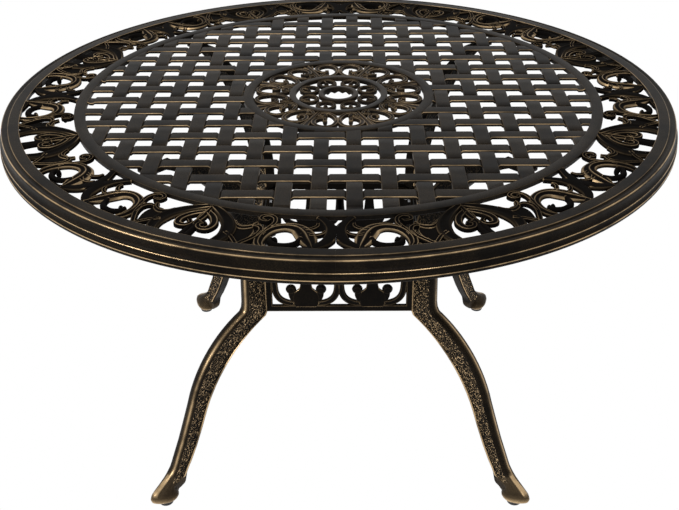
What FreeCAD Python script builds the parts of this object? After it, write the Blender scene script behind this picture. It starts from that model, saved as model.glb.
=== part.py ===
"""Round patio dining table of cast metal with an umbrella hole, in millimetres.

The origin is on the floor under the middle of the top, +Z is up and -Y is the front.
A woven lattice top with a scrolled border and a pierced medallion stands on four
S-curved legs, tied together by four scrolled apron panels and four corner brackets.
Each foot has a glide on a screw, which levels the table.
"""
import FreeCAD
import Part
import math
import os

import Sketcher
from FreeCAD import Placement, Rotation, Vector

doc = FreeCAD.newDocument("umbrella_table")
sheet = doc.addObject("Spreadsheet::Sheet", "Sizes")

SIZES = [
    # top as a whole
    ("table_radius", 610, "outer radius of the rim"),
    ("table_height", 702, "floor to the top face"),
    # rim
    ("rim_depth", 36, "height of the rim's apron"),
    ("rim_band", 36, "width of the flat band on top"),
    ("rim_wall", 6, "wall of the rim casting"),
    ("rim_roll", 9, "bevelled nose at the top edge"),
    ("rim_draft", 3, "lean of the wall's inner face"),
    # border of scrolls and the band inside it
    ("border_width", 94, "rim band to inner band"),
    ("border_thick", 7, "thickness of the scrollwork"),
    ("border_sunk", 1, "scrollwork below the top face"),
    ("stroke_width", 10, "width of a scroll's bar"),
    ("band_width", 20, "flat band round the lattice"),
    # woven lattice
    ("slat_pitch", 54.3, "slat to slat, both ways"),
    ("slat_width", 25.5, "width of a slat"),
    ("slat_thick", 8, "thickness of the lattice where a slat passes over"),
    ("weave_depth", 3, "step down to a slat that passes under"),
    # medallion
    ("medallion_radius", 176, "outside of the medallion"),
    ("medallion_ring", 18, "width of its outer ring"),
    ("middle_radius", 91, "outside of its middle ring"),
    ("middle_ring", 12, "width of its middle ring"),
    ("hub_radius", 37, "outside of the ring round the hole"),
    ("hub_depth", 22, "height of the ring round the hole"),
    ("pole_hole", 27.5, "radius of the umbrella hole"),
    # legs, measured in the upright plane through the table's corner-to-corner line
    ("leg_width", 22, "leg from side to side"),
    ("post_in", 204, "middle of the table to the post's inner face"),
    ("post_deep", 47, "post from its inner to its outer face"),
    ("knee_height", 318, "floor to the underside of the knee"),
    ("shoulder_height", 347, "floor to the outer corner of the knee"),
    ("arm_start", 438, "floor to the start of the arm's outer curve"),
    ("arm_start_in", 468, "floor to the start of the arm's inner curve"),
    ("arm_reach", 162, "outer curve of the arm, from post to plate"),
    ("arm_reach_in", 171, "inner curve of the arm, from post to plate"),
    ("arm_bend", 272, "radius of the arm's outer curve"),
    ("arm_bend_in", 230, "radius of the arm's inner curve"),
    ("plate_thick", 6, "mounting plate on top of the arm"),
    ("plate_width", 28, "mounting plate from side to side"),
    ("plate_in", 372, "inner end of the mounting plate"),
    ("plate_out", 442, "outer end of the mounting plate"),
    ("calf_out", 395, "end of the calf's outer curve, from the middle"),
    ("calf_out_height", 194, "end of the calf's outer curve, from the floor"),
    ("calf_bend", 272, "radius of the calf's outer curve"),
    ("calf_in", 371, "end of the calf's inner curve, from the middle"),
    ("calf_in_height", 172, "end of the calf's inner curve, from the floor"),
    ("calf_bend_in", 240, "radius of the calf's inner curve"),
    ("ankle_out", 449, "outer side of the ankle, from the middle"),
    ("ankle_in", 426, "inner side of the ankle, from the middle"),
    ("ankle_height", 56, "floor to the ankle"),
    ("foot_centre", 472, "middle of the table to the foot's middle"),
    ("foot_radius", 29, "half length of the foot at its widest"),
    ("foot_height", 44, "height of the foot above its sole"),
    # apron between the legs
    ("apron_inner", 152, "middle of the table to the apron's inner face"),
    ("apron_thick", 6, "thickness of an apron panel"),
    ("apron_bottom", 328, "floor to the apron's lower edge"),
    ("apron_height", 110, "height of the apron"),
    ("rail_height", 10, "height of its rails"),
    ("stile_width", 10.5, "width of its end posts"),
    ("apron_stroke", 8, "width of the apron's scroll bars"),
    # corner brackets
    ("bracket_thick", 4, "corner bracket's plate"),
    ("bracket_wing", 20, "wing that lies on the apron"),
    ("bracket_height", 100, "height of the corner bracket"),
    # levelling glides
    ("glide_height", 8, "floor to the sole of the foot"),
    ("glide_radius", 14, "radius of the glide"),
    ("glide_gap", 0.3, "running gap round a glide and its screw"),
    ("stem_radius", 4, "radius of the glide's screw"),
    ("stem_length", 24, "screw above the glide"),
    ("stem_spare", 6, "bore above the screw"),
]

LEGS = [("front_right", -45), ("rear_right", 45), ("rear_left", 135), ("front_left", 225)]
APRONS = [("front", 0), ("right", 90), ("rear", 180), ("left", 270)]
ROOT2 = math.sqrt(2)
BORE_SIDES = 12
# The edges that slats and bars run into are many-sided, which keeps the mesh light.
EDGE_SIDES = 72

# Foot in rings: share of its height, then as shares of its radius: how far the ring's
# middle lies from the glide's, and its half length. The width keeps one share of the length.
FOOT_RINGS = [(0.0, 0.0, 0.78), (0.2, 0.06, 1.0), (0.55, -0.16, 0.74), (1.0, -0.66, 0.5)]
FOOT_SLIM = 0.86
FOOT_CORNERS = [(-0.92, -0.38), (-0.38, -0.92), (0.38, -0.92), (0.92, -0.38),
                (0.92, 0.38), (0.38, 0.92), (-0.38, 0.92), (-0.92, 0.38)]


def fill_sheet():
    """Puts each size in column B, under its own name, with its meaning beside it."""
    for row, (name, value, meaning) in enumerate(SIZES, 1):
        sheet.set(f"A{row}", meaning)
        sheet.set(f"B{row}", str(value))
        sheet.setAlias(f"B{row}", name)
    doc.recompute()


def size(name):
    return float(sheet.get(name))


def bind(thing, prop, expression):
    thing.setExpression(prop, expression)


def polar(radius, degrees):
    """Point at a radius and a bearing, counted from +X."""
    turn = math.radians(degrees)
    return Vector(radius * math.cos(turn), radius * math.sin(turn), 0)


def turned(degrees):
    return Placement(Vector(0, 0, 0), Rotation(Vector(0, 0, 1), degrees))


# Sketches and bodies


def new_body(label):
    body = doc.addObject("PartDesign::Body", label)
    body.Label = label
    return body


def new_sketch(body, role, name, lift=None):
    """Sketch on one of the body's own origin planes, lifted by an expression if given."""
    sketch = body.newObject("Sketcher::SketchObject", name)
    plane = [f for f in body.Origin.OriginFeatures if f.Role == role][0]
    sketch.AttachmentSupport = [(plane, "")]
    sketch.MapMode = "FlatFace"
    if lift:
        bind(sketch, ".AttachmentOffset.Base.z", lift)
    return sketch


def pin_point(sketch, x, y):
    """Construction point held at two expressions."""
    index = sketch.addGeometry(Part.Point(Vector(1, 1, 0)), True)
    for kind, expression in (("DistanceX", x), ("DistanceY", y)):
        place = Sketcher.Constraint(kind, -1, 1, index, 1, 1.0)
        number = sketch.addConstraint(place)
        bind(sketch, f"Constraints[{number}]", expression)
    return index


def arc_between(start, end, radius, bulge):
    """Arc of under half a circle; bulge 1 bows to the right of the way from start to end."""
    middle = (start + end) * 0.5
    half = (end - start).Length / 2
    along = (end - start).normalize()
    side = Vector(along.y, -along.x, 0) * bulge
    centre = middle - side * math.sqrt(radius ** 2 - half ** 2)
    first, last = (start, end) if bulge > 0 else (end, start)
    a0 = math.atan2(first.y - centre.y, first.x - centre.x)
    a1 = math.atan2(last.y - centre.y, last.x - centre.x)
    circle = Part.Circle(centre, Vector(0, 0, 1), radius)
    return Part.ArcOfCircle(circle, a0, a1 if a1 > a0 else a1 + 2 * math.pi)


def outline(sketch, corners):
    """Closed outline; a corner is (x, y) or (x, y, radius, bulge) where an arc leaves it."""
    pins = [pin_point(sketch, corner[0], corner[1]) for corner in corners]
    doc.recompute()
    for number, corner in enumerate(corners):
        here, there = pins[number], pins[(number + 1) % len(pins)]
        start, end = sketch.getPoint(here, 1), sketch.getPoint(there, 1)
        if len(corner) == 2:
            edge = sketch.addGeometry(Part.LineSegment(start, end), False)
            ends = (1, 2)
        else:
            radius, bulge = corner[2], corner[3]
            arc = arc_between(start, end, size(radius), bulge)
            edge = sketch.addGeometry(arc, False)
            ends = (1, 2) if bulge > 0 else (2, 1)
            curve = Sketcher.Constraint("Radius", edge, size(radius))
            bind(sketch, f"Constraints[{sketch.addConstraint(curve)}]", f"Sizes.{radius}")
        sketch.addConstraint(Sketcher.Constraint("Coincident", edge, ends[0], here, 1))
        sketch.addConstraint(Sketcher.Constraint("Coincident", edge, ends[1], there, 1))


def pad(body, sketch, name, length, midplane=False):
    feature = body.newObject("PartDesign::Pad", name)
    feature.Profile = sketch
    feature.SideType = "Symmetric" if midplane else "One side"
    bind(feature, "Length", length)
    body.Tip = feature
    return feature


def cut(body, sketch, name, length):
    """Pocket to both sides of the sketch, of a total length."""
    before = body.Shape.Volume
    feature = body.newObject("PartDesign::Pocket", name)
    feature.Profile = sketch
    feature.SideType = "Symmetric"
    bind(feature, "Length", length)
    body.Tip = feature
    doc.recompute()
    if body.Shape.Volume > before - 1:
        raise RuntimeError(f"{body.Label}: {name} cuts nothing")
    return feature


def revolve(body, sketch, name, degrees, axis=("V_Axis",)):
    feature = body.newObject("PartDesign::Revolution", name)
    feature.Profile = sketch
    feature.ReferenceAxis = (sketch, list(axis))
    feature.Angle = degrees
    body.Tip = feature
    return feature


# Scrollwork: bars of even thickness that follow a line of points


def bar(points, width, closed=False):
    """Flat face along a run of points, with square ends, or a closed ring."""
    left, right = [], []
    count = len(points)
    for number, point in enumerate(points):
        before = points[number - 1] if number or closed else None
        after = points[(number + 1) % count] if number < count - 1 or closed else None
        into = (point - before).normalize() if before else None
        out = (after - point).normalize() if after else into
        into = into or out
        mean = (into + out).normalize()
        reach = width / 2 / max(mean.dot(into), 0.5)
        side = Vector(-mean.y, mean.x, 0) * reach
        left.append(point + side)
        right.append(point - side)
    if closed:
        outer, inner = (Part.makePolygon(ring + ring[:1]) for ring in (right, left))
        face, hole = Part.Face(outer), Part.Face(inner)
        return face.cut(hole) if face.Area > hole.Area else hole.cut(face)
    loop = left + right[::-1]
    return Part.Face(Part.makePolygon(loop + loop[:1]))


def straight_ends(wire, radii):
    """The wire with its short arcs on the given circles made straight."""
    edges = []
    for edge in wire.OrderedEdges:
        curve = edge.Curve
        if isinstance(curve, Part.Circle) and any(abs(curve.Radius - r) < 0.01 for r in radii):
            edge = Part.makeLine(edge.firstVertex().Point, edge.lastVertex().Point)
        edges.append(edge)
    return Part.Wire(Part.sortEdges(edges)[0])


def raise_faces(faces, bottom, thick, room=None, radii=()):
    """One solid from flat faces that cross each other, cut to a room of given radii."""
    bars = [face.extrude(Vector(0, 0, thick)) for face in faces]
    joined = bars[0].multiFuse(bars[1:])
    if room:
        joined = joined.common(room.extrude(Vector(0, 0, thick)))
    plates = []
    for face in joined.removeSplitter().Faces:
        if face.BoundBox.ZMax < thick / 2:
            wires = [straight_ends(wire, radii) for wire in face.Wires]
            plates.append(Part.makeFace(wires, "Part::FaceMakerBullseye"))
    solids = [plate.extrude(Vector(0, 0, thick)) for plate in plates]
    for solid in solids:
        solid.translate(Vector(0, 0, bottom))
    return solids[0] if len(solids) == 1 else Part.makeCompound(solids)


def ring_face(outer, inner):
    rims = [Part.Wire(Part.makeCircle(radius)) for radius in (outer, inner)]
    return Part.makeFace(rims, "Part::FaceMakerBullseye")


def many_sided_face(radius, sides=EDGE_SIDES):
    corners = [polar(radius, 360 * n / sides) for n in range(sides + 1)]
    return Part.Face(Part.makePolygon(corners))


def many_sided(radius, bottom, thick, sides=EDGE_SIDES):
    """Upright prism that stands in for a cylinder where many slats or bars meet it."""
    prism = many_sided_face(radius, sides).extrude(Vector(0, 0, thick))
    prism.translate(Vector(0, 0, bottom))
    return prism


def both_ways(points, axis):
    """The run of (radius, bearing) points and its mirror image about a bearing."""
    return [points, [(r, 2 * axis - a) for r, a in points]]


def made(label, shape, placement=None):
    """Feature whose shape comes from code, where no sketch feature fits."""
    feature = doc.addObject("Part::Feature", label)
    feature.Label = label
    feature.Shape = shape
    feature.Placement = (placement or Placement()).multiply(shape.Placement)
    return feature


# Table top


def rim_half(label, degrees):
    """Half of the rim: flat band, bevelled nose, upright fascia, open underneath."""
    body = new_body(label)
    sketch = new_sketch(body, "XZ_Plane", label + "_profile")
    edge, top = "Sizes.table_radius", "Sizes.table_height"
    inside = f"{edge} - Sizes.rim_band"
    foot = f"{top} - Sizes.rim_depth"
    outline(sketch, [
        (inside, top),
        (f"{edge} - Sizes.rim_roll", top),
        (edge, f"{top} - Sizes.rim_roll"),
        (edge, foot),
        (f"{edge} - Sizes.rim_wall", foot),
        (f"{edge} - Sizes.rim_wall - Sizes.rim_draft", f"{top} - Sizes.slat_thick"),
        (inside, f"{top} - Sizes.slat_thick"),
    ])
    revolve(body, sketch, label + "_turn", 180)
    body.Placement = turned(degrees)
    return body


def border_radii():
    outer = size("table_radius") - size("rim_band")
    return outer - size("border_width"), outer


def border_runs():
    """Bars of half a border unit as shares of the border's width and bearings.

    A unit spans 45 degrees, from one back-to-back scroll joint to the next, with a
    lotus in its middle. Shares count from the inner band, 0, to the rim, 1.
    """
    stem = [(1.04, 3.8), (0.5, 0.85), (-0.04, 2.2)]
    finger = [(0.5, 0.9), (0.24, 2.9), (0.34, 5.0)]
    scroll = [(1.03, 10.9), (0.5, 11.4), (0.2, 8.6), (0.32, 5.2), (0.72, 5.0), (0.76, 8.2)]
    bud = [(0.5, 11.3), (-0.03, 11.5)]
    fan = [(0.3, 11.3), (1.03, 14.2), (0.6, 16.9)]
    petal = [(1.03, 17.5), (0.55, 16.8), (0.16, 19.3), (-0.03, 22.5)]
    curl = [(0.03, 21.9), (0.36, 19.7), (0.62, 21.0)]
    heart = [(1.03, 22.5), (0.0, 22.5)]
    return [stem, finger, scroll, bud, fan, petal, curl, heart]


def border_unit():
    """One pierced border casting, from bearing 0 to 45 degrees."""
    inner, outer = border_radii()
    width, middle = size("stroke_width"), 22.5
    faces = []
    for run in border_runs():
        places = [(inner + share * (outer - inner), angle) for share, angle in run]
        for side in both_ways(places, middle):
            faces.append(bar([polar(r, a) for r, a in side], width))
    bottom = size("table_height") - size("border_sunk") - size("border_thick")
    room = ring_face(outer, inner)
    return raise_faces(faces, bottom, size("border_thick"), room, (inner, outer))


def border():
    unit = border_unit()
    for number in range(8):
        made(f"border_scroll_{number + 1}", unit, turned(45 * number))


def slat(line, along_y, span):
    """Woven slat on its line; those along X pass over where the two counts add to odd."""
    pitch, width, top = size("slat_pitch"), size("slat_width"), size("table_height")
    upper = []
    for cross in range(-span, span):
        over = (cross + line) % 2 == (0 if along_y else 1)
        level = top if over else top - size("weave_depth")
        centre = (cross + 0.5) * pitch
        upper += [Vector(centre - width / 2, 0, level), Vector(centre + width / 2, 0, level)]
    base = top - size("slat_thick")
    lower = [Vector(upper[-1].x, 0, base), Vector(upper[0].x, 0, base)]
    face = Part.Face(Part.makePolygon(upper + lower + upper[:1]))
    face.translate(Vector(0, (line + 0.5) * pitch - width / 2, 0))
    solid = face.extrude(Vector(0, width, 0))
    if along_y:
        solid = solid.mirror(Vector(0, 0, 0), Vector(1, -1, 0))
    return solid


def lattice():
    """Woven panel with the flat band round it and the medallion's outer ring."""
    outer, hollow = border_radii()[0], size("medallion_radius")
    band, ring, full = size("band_width"), size("medallion_ring"), size("slat_thick")
    pitch, width = size("slat_pitch"), size("slat_width")
    edge, bottom = outer - band, size("table_height") - full
    span = int(edge / pitch) + 2
    tall = size("table_height")
    field = many_sided(edge + 1, 0, tall).cut(many_sided(hollow - 1, 0, tall))
    band_ring = Part.makeCylinder(outer, full, Vector(0, 0, bottom))
    inner_ring = many_sided(hollow, bottom, full)
    bore = Part.makeCylinder(hollow - ring, full, Vector(0, 0, bottom))
    bars = [band_ring.cut(many_sided(edge, bottom, full)), inner_ring.cut(bore)]
    for line in range(-span, span):
        if abs((line + 0.5) * pitch) + width / 2 < edge - width / 2:
            bars += [slat(line, along_y, span).common(field) for along_y in (False, True)]
    made("lattice_panel", bars[0].multiFuse(bars[1:]).removeSplitter())


def medallion_runs():
    """Bar of one of the sixteen outer scrolls, as radii and bearings in 22.5 degrees."""
    inner, outer = size("middle_radius"), size("medallion_radius") - size("medallion_ring")
    loop = [(0.28, 21.8), (0.97, 15.0), (0.8, 2.0), (0.3, 2.0), (0.03, 10.5), (0.3, 15.6)]
    return [(inner + share * (outer - inner), angle) for share, angle in loop]


def medallion():
    """Pierced disc: mirrored scrolls, middle ring, round loops, ring round the hole."""
    top, full, hole = size("table_height"), size("slat_thick"), size("pole_hole")
    middle, ring, hub = size("middle_radius"), size("middle_ring"), size("hub_radius")
    outer = size("medallion_radius") - size("medallion_ring")
    width = 0.8 * size("stroke_width")
    centre, spread = (middle - ring + hub) / 2, (middle - ring - hub) / 2
    faces = [many_sided_face(middle).cut(many_sided_face(middle - ring))]
    for number in range(8):
        for side in both_ways(medallion_runs(), 22.5):
            faces.append(bar([polar(r, a + 45 * number) for r, a in side], width))
        bearing = 22.5 + 45 * number
        loop = [polar(centre, bearing) + polar(spread, bearing + 60 * n) for n in range(6)]
        faces.append(bar(loop, 0.8 * width, closed=True))
    plate = raise_faces(faces, top - full, full, ring_face(outer, hub - 1), (outer,))
    depth, sides = size("hub_depth"), EDGE_SIDES // 2
    bore = Part.makeCylinder(hole, depth, Vector(0, 0, top - depth))
    collar = many_sided(hub, top - depth, depth, sides).cut(bore)
    made("medallion", plate.fuse(collar).removeSplitter())


# Base


def leg_outline():
    """Side view of a leg, distance from the middle of the table against height."""
    post_in, post_out = "Sizes.post_in", "Sizes.post_in + Sizes.post_deep"
    plate_top = "Sizes.table_height - Sizes.slat_thick"
    plate_bottom = f"{plate_top} - Sizes.plate_thick"
    sole = "Sizes.glide_height + Sizes.foot_height / 4"
    return [
        (post_in, "Sizes.knee_height + 8"),
        (post_in, "Sizes.arm_start_in", "arm_bend_in", -1),
        (f"{post_in} + Sizes.arm_reach_in", plate_bottom),
        (f"{post_in} + Sizes.arm_reach_in", plate_top),
        (f"{post_out} + Sizes.arm_reach", plate_top),
        (f"{post_out} + Sizes.arm_reach", plate_bottom, "arm_bend", 1),
        (post_out, "Sizes.arm_start"),
        (post_out, "Sizes.shoulder_height", "calf_bend", -1),
        ("Sizes.calf_out", "Sizes.calf_out_height"),
        ("Sizes.ankle_out", "Sizes.ankle_height"),
        ("Sizes.foot_centre", sole),
        ("Sizes.foot_centre - Sizes.foot_radius / 2", sole),
        ("Sizes.ankle_in", "Sizes.ankle_height"),
        ("Sizes.calf_in", "Sizes.calf_in_height", "calf_bend_in", 1),
        (f"{post_in} + 7", "Sizes.knee_height"),
    ]


def foot():
    """Hoof-shaped foot that swells above its sole, then narrows up to the ankle."""
    radius, middle = size("foot_radius"), size("foot_centre")
    rings = []
    for height, shift, length in FOOT_RINGS:
        centre = Vector(middle + shift * radius, 0,
                        size("glide_height") + height * size("foot_height"))
        rings.append([centre + Vector(x, y * FOOT_SLIM, 0) * length * radius
                      for x, y in FOOT_CORNERS])
    sides = []
    for low, high in zip(rings, rings[1:]):
        for here in range(len(low)):
            there = (here + 1) % len(low)
            corners = [low[here], low[there], high[there], high[here], low[here]]
            sides.append(Part.Face(Part.makePolygon(corners)))
    ends = [Part.Face(Part.makePolygon(ring + ring[:1])) for ring in (rings[0], rings[-1])]
    return Part.makeSolid(Part.makeShell(sides + ends))


def add_plate(body):
    """Mounting plate on the arm's end, which the lattice rests on."""
    under = "Sizes.table_height - Sizes.slat_thick - Sizes.plate_thick"
    sketch = new_sketch(body, "XY_Plane", body.Label + "_plate_plan", under)
    start, end, half = "Sizes.plate_in", "Sizes.plate_out", "Sizes.plate_width / 2"
    outline(sketch, [(start, f"-({half})"), (end, f"-({half})"), (end, half), (start, half)])
    pad(body, sketch, body.Label + "_plate", "Sizes.plate_thick")
    doc.recompute()


def glide_bore(name):
    """Tool for the upright blind bore of the glide's screw, with as many sides."""
    bore = doc.addObject("Part::Prism", f"leg_{name}_glide_bore")
    bore.Polygon = BORE_SIDES
    bind(bore, "Circumradius", "Sizes.stem_radius + Sizes.glide_gap")
    bind(bore, "Height", "Sizes.glide_height + Sizes.stem_length + Sizes.stem_spare")
    bind(bore, "Placement.Base.x", "Sizes.foot_centre")
    return bore


def leg(name, bearing):
    """Plank with its mounting plate, joined to the foot and bored for the glide."""
    body = doc.addObject("PartDesign::Body", f"leg_{name}_plank")
    side = new_sketch(body, "XZ_Plane", body.Label + "_side")
    outline(side, leg_outline())
    pad(body, side, body.Label + "_casting", "Sizes.leg_width", midplane=True)
    doc.recompute()
    add_plate(body)
    casting = doc.addObject("Part::MultiFuse", f"leg_{name}_casting")
    casting.Shapes = [body, made(f"leg_{name}_foot", foot())]
    bored = doc.addObject("Part::Cut", f"leg_{name}")
    bored.Label = f"leg_{name}"
    bored.Base = casting
    bored.Tool = glide_bore(name)
    bored.Refine = True
    bored.Placement = turned(bearing)
    return bored


def apron_frame(name):
    """Rails and end posts of an apron panel, mitred onto the legs' side faces."""
    body = doc.addObject("PartDesign::Body", f"apron_{name}_frame")
    sketch = new_sketch(body, "XY_Plane", name + "_plan", "Sizes.apron_bottom")
    inner, outer = "Sizes.apron_inner", "(Sizes.apron_inner + Sizes.apron_thick)"
    side = "Sizes.leg_width * 0.7071068"
    outline(sketch, [
        (f"{side} - {outer}", f"-{outer}"), (f"{outer} - {side}", f"-{outer}"),
        (f"{inner} - {side}", f"-{inner}"), (f"{side} - {inner}", f"-{inner}"),
    ])
    pad(body, sketch, name + "_slab", "Sizes.apron_height")
    doc.recompute()
    window = new_sketch(body, "XZ_Plane", name + "_window")
    reach = f"{inner} - {side} - Sizes.stile_width"
    low = "Sizes.apron_bottom + Sizes.rail_height"
    high = "Sizes.apron_bottom + Sizes.apron_height - Sizes.rail_height"
    outline(window, [(f"-({reach})", low), (reach, low), (reach, high), (f"-({reach})", high)])
    cut(body, window, name + "_opening", f"3 * {outer}")
    return body


def lyre_runs():
    """Bars of half a lyre, out from its pillar, as shares of its half width and height."""
    bow = [(0.0, 0.04), (0.5, 0.12), (0.85, 0.45), (1.0, 1.04)]
    volute = [(0.1, 0.3), (0.3, 0.54), (0.6, 0.48), (0.46, 0.3)]
    return [bow, volute]


def apron_scrolls():
    """Two lyres side by side, drawn in plan and stood up between the rails."""
    side = size("leg_width") / ROOT2
    reach = size("apron_inner") - side - size("stile_width")
    low = size("apron_bottom") + size("rail_height")
    high = size("apron_bottom") + size("apron_height") - size("rail_height")
    width, faces = size("apron_stroke"), []
    for centre in (-reach / 2, reach / 2):
        for way in (-1, 1):
            for run in lyre_runs():
                points = [Vector(centre + way * x * reach / 2, low + z * (high - low), 0)
                          for x, z in run]
                faces.append(bar(points, width))
        for half, tall in ((17, 0.32), (8, 1.0)):
            corners = [Vector(centre + x, z, 0) for x, z in (
                (-half, low - 1), (half, low - 1),
                (half * 0.6, low + tall * (high - low)), (-half * 0.6, low + tall * (high - low)))]
            faces.append(Part.Face(Part.makePolygon(corners + corners[:1])))
    room = Part.makePlane(2 * reach, high - low, Vector(-reach, low, 0))
    solid = raise_faces(faces, size("apron_inner"), size("apron_thick"), room)
    solid.rotate(Vector(0, 0, 0), Vector(1, 0, 0), 90)
    return solid


def apron(name, bearing, scrolls):
    frame = apron_frame(name)
    filling = made(f"apron_{name}_scrolls", scrolls)
    doc.recompute()
    panel = doc.addObject("Part::MultiFuse", f"apron_{name}")
    panel.Label = f"apron_{name}"
    panel.Shapes = [frame, filling]
    panel.Refine = True
    panel.Placement = turned(bearing)
    return panel


def bracket(name, bearing):
    """Bent plate inside a corner: its flat on the post, its wings on the aprons."""
    body = new_body("corner_bracket_" + name)
    low = "Sizes.apron_bottom + (Sizes.apron_height - Sizes.bracket_height) / 2"
    sketch = new_sketch(body, "XY_Plane", name + "_bend", low)
    flat = "(Sizes.apron_inner * 1.4142136 - Sizes.post_in)"
    wing, thick = "Sizes.bracket_wing * 0.7071068", "Sizes.bracket_thick"
    inner = f"({flat} - {thick} * 0.4142136)"
    lean = f"{thick} * 0.7071068"
    back = "Sizes.post_in"
    outline(sketch, [
        (back, f"-{flat}"), (back, flat),
        (f"{back} - {wing}", f"{flat} + {wing}"),
        (f"{back} - {wing} - {lean}", f"{flat} + {wing} - {lean}"),
        (f"{back} - {thick}", inner),
        (f"{back} - {thick}", f"-{inner}"),
        (f"{back} - {wing} - {lean}", f"-({flat} + {wing} - {lean})"),
        (f"{back} - {wing}", f"-({flat} + {wing})"),
    ])
    pad(body, sketch, name + "_plate", "Sizes.bracket_height")
    body.Placement = turned(bearing)
    return body


# Levelling glides


def glide(name, bearing):
    """Glide and its screw, which turns up into the foot."""
    thick = size("glide_height") - size("glide_gap")
    pieces_of = (("glide_pad_", "glide_radius", "Sizes.glide_height - Sizes.glide_gap", 0),
                 ("glide_stem_", "stem_radius", "Sizes.stem_length + Sizes.glide_gap", thick))
    for label, radius, height, lift in pieces_of:
        prism = doc.addObject("Part::Prism", label + name)
        prism.Label = label + name
        prism.Polygon = BORE_SIDES
        bind(prism, "Circumradius", f"Sizes.{radius}")
        bind(prism, "Height", height)
        place = polar(size("foot_centre"), bearing) + Vector(0, 0, lift)
        prism.Placement = Placement(place, Rotation(Vector(0, 0, 1), bearing))


def build():
    fill_sheet()
    rim_half("rim_right", 90)
    rim_half("rim_left", -90)
    border()
    lattice()
    medallion()
    scrolls = apron_scrolls()
    for name, bearing in LEGS:
        leg(name, bearing)
        bracket(name, bearing)
        glide(name, bearing)
    for name, bearing in APRONS:
        apron(name, bearing, scrolls)
    doc.recompute()


def inside_another(thing):
    """True for a feature that only feeds another one."""
    kinds = ("PartDesign::Body", "Part::")
    return any(other.TypeId.startswith(kinds) for other in thing.InList)


def pieces():
    """Finished sub-parts: bodies, primitives, booleans and made features."""
    for thing in doc.Objects:
        whole = thing.TypeId == "PartDesign::Body" or thing.TypeId.startswith("Part::")
        if whole and not inside_another(thing):
            yield thing


def check():
    for thing in doc.Objects:
        if {"Invalid", "Error"} & set(thing.State):
            raise RuntimeError(f"{thing.Name} is {thing.State}")
    for thing in pieces():
        if thing.Shape.isNull() or not thing.Shape.isValid():
            raise RuntimeError(f"{thing.Label} has no valid shape")


def export():
    os.makedirs("parts", exist_ok=True)
    for thing in pieces():
        solids = thing.Shape.Solids
        print(thing.Label, len(solids), round(thing.Shape.Volume))
        thing.Shape.exportStep(os.path.join("parts", thing.Label + ".step"))


build()
check()
export()
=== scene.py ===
# %% [markdown]
# # A cast patio table with a woven top
#
# This notebook dresses a round cast metal table for its portrait. The rough frame comes
# from a CAD model, which has every piece at its true size and place. Here each casting
# gets the shape that the foundry gives it: rounded edges, fluted scrolls, leaves, a woven
# lattice, and the antique bronze finish with gold rubbed onto whatever stands proud.

# %% Load the frame
import math

import bmesh
import bpy
from mathutils import Matrix, Vector


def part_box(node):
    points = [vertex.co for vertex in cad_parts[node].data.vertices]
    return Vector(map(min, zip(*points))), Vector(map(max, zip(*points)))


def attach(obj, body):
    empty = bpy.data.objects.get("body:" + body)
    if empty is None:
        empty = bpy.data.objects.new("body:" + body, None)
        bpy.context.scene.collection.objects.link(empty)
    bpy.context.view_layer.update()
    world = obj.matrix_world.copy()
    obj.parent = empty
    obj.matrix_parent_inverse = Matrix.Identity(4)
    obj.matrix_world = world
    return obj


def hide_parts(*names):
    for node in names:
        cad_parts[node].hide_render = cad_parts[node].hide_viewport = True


MM = 0.001
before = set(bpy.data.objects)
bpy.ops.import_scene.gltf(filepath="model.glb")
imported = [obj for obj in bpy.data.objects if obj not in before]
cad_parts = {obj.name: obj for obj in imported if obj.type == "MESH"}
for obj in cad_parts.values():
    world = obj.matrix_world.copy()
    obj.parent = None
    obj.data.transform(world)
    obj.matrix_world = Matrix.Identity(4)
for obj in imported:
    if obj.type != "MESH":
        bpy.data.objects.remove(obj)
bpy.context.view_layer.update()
bpy.ops.object.select_all(action="DESELECT")
print("CAD nodes:", len(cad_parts))

# %% [markdown]
# ## Sizes
#
# The heights and radii are read off the CAD nodes, so that the dressed pieces sit exactly
# where the frame has them. Blender counts in metres and a workshop in millimetres, so
# lengths that are drawn here are in millimetres and multiplied by MM where they are used.

# %% Read the sizes
LATTICE_BAND, MEDALLION_BAND = 20 * MM, 18 * MM
rim_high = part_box("rim_right")[1]
TOP, RIM_RADIUS = rim_high.z, rim_high.x
panel_low, panel_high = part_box("lattice_panel")
PANEL_BASE = panel_low.z
BAND_OUTER = panel_high.x
BAND_INNER = BAND_OUTER - LATTICE_BAND
MEDALLION_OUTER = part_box("medallion")[1].x
RING_OUTER = MEDALLION_OUTER + MEDALLION_BAND
LEG_BEARINGS = {"front_right": -45, "rear_right": 45, "rear_left": 135, "front_left": 225}
print("top", TOP, "rim", RIM_RADIUS, "band", BAND_OUTER, "medallion", MEDALLION_OUTER)


def polar(radius, degrees, height=0.0):
    """Point at a radius and a bearing round the table's middle."""
    turn = math.radians(degrees)
    return Vector((radius * math.cos(turn), radius * math.sin(turn), height))


def turning(degrees, axis="Z"):
    """Matrix that turns about an axis through the origin."""
    return Matrix.Rotation(math.radians(degrees), 4, axis)


# %% [markdown]
# ## The camera
#
# A plain pinhole camera stands where the photographer stood: nearly two metres in front
# of the table and a little above eye height of someone sitting, looking down by thirty
# degrees. It comes first, because every later choice is judged through it.

# %% Place the camera
CAMERA_PLACE = Vector((0.0169, -1.8028, 1.4177))
CAMERA_DOWN, CAMERA_HEADING, CAMERA_ROLL = 30.58, 0.548, -0.461
CAMERA_LENS, CAMERA_SENSOR = 54.75, 36


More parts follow.
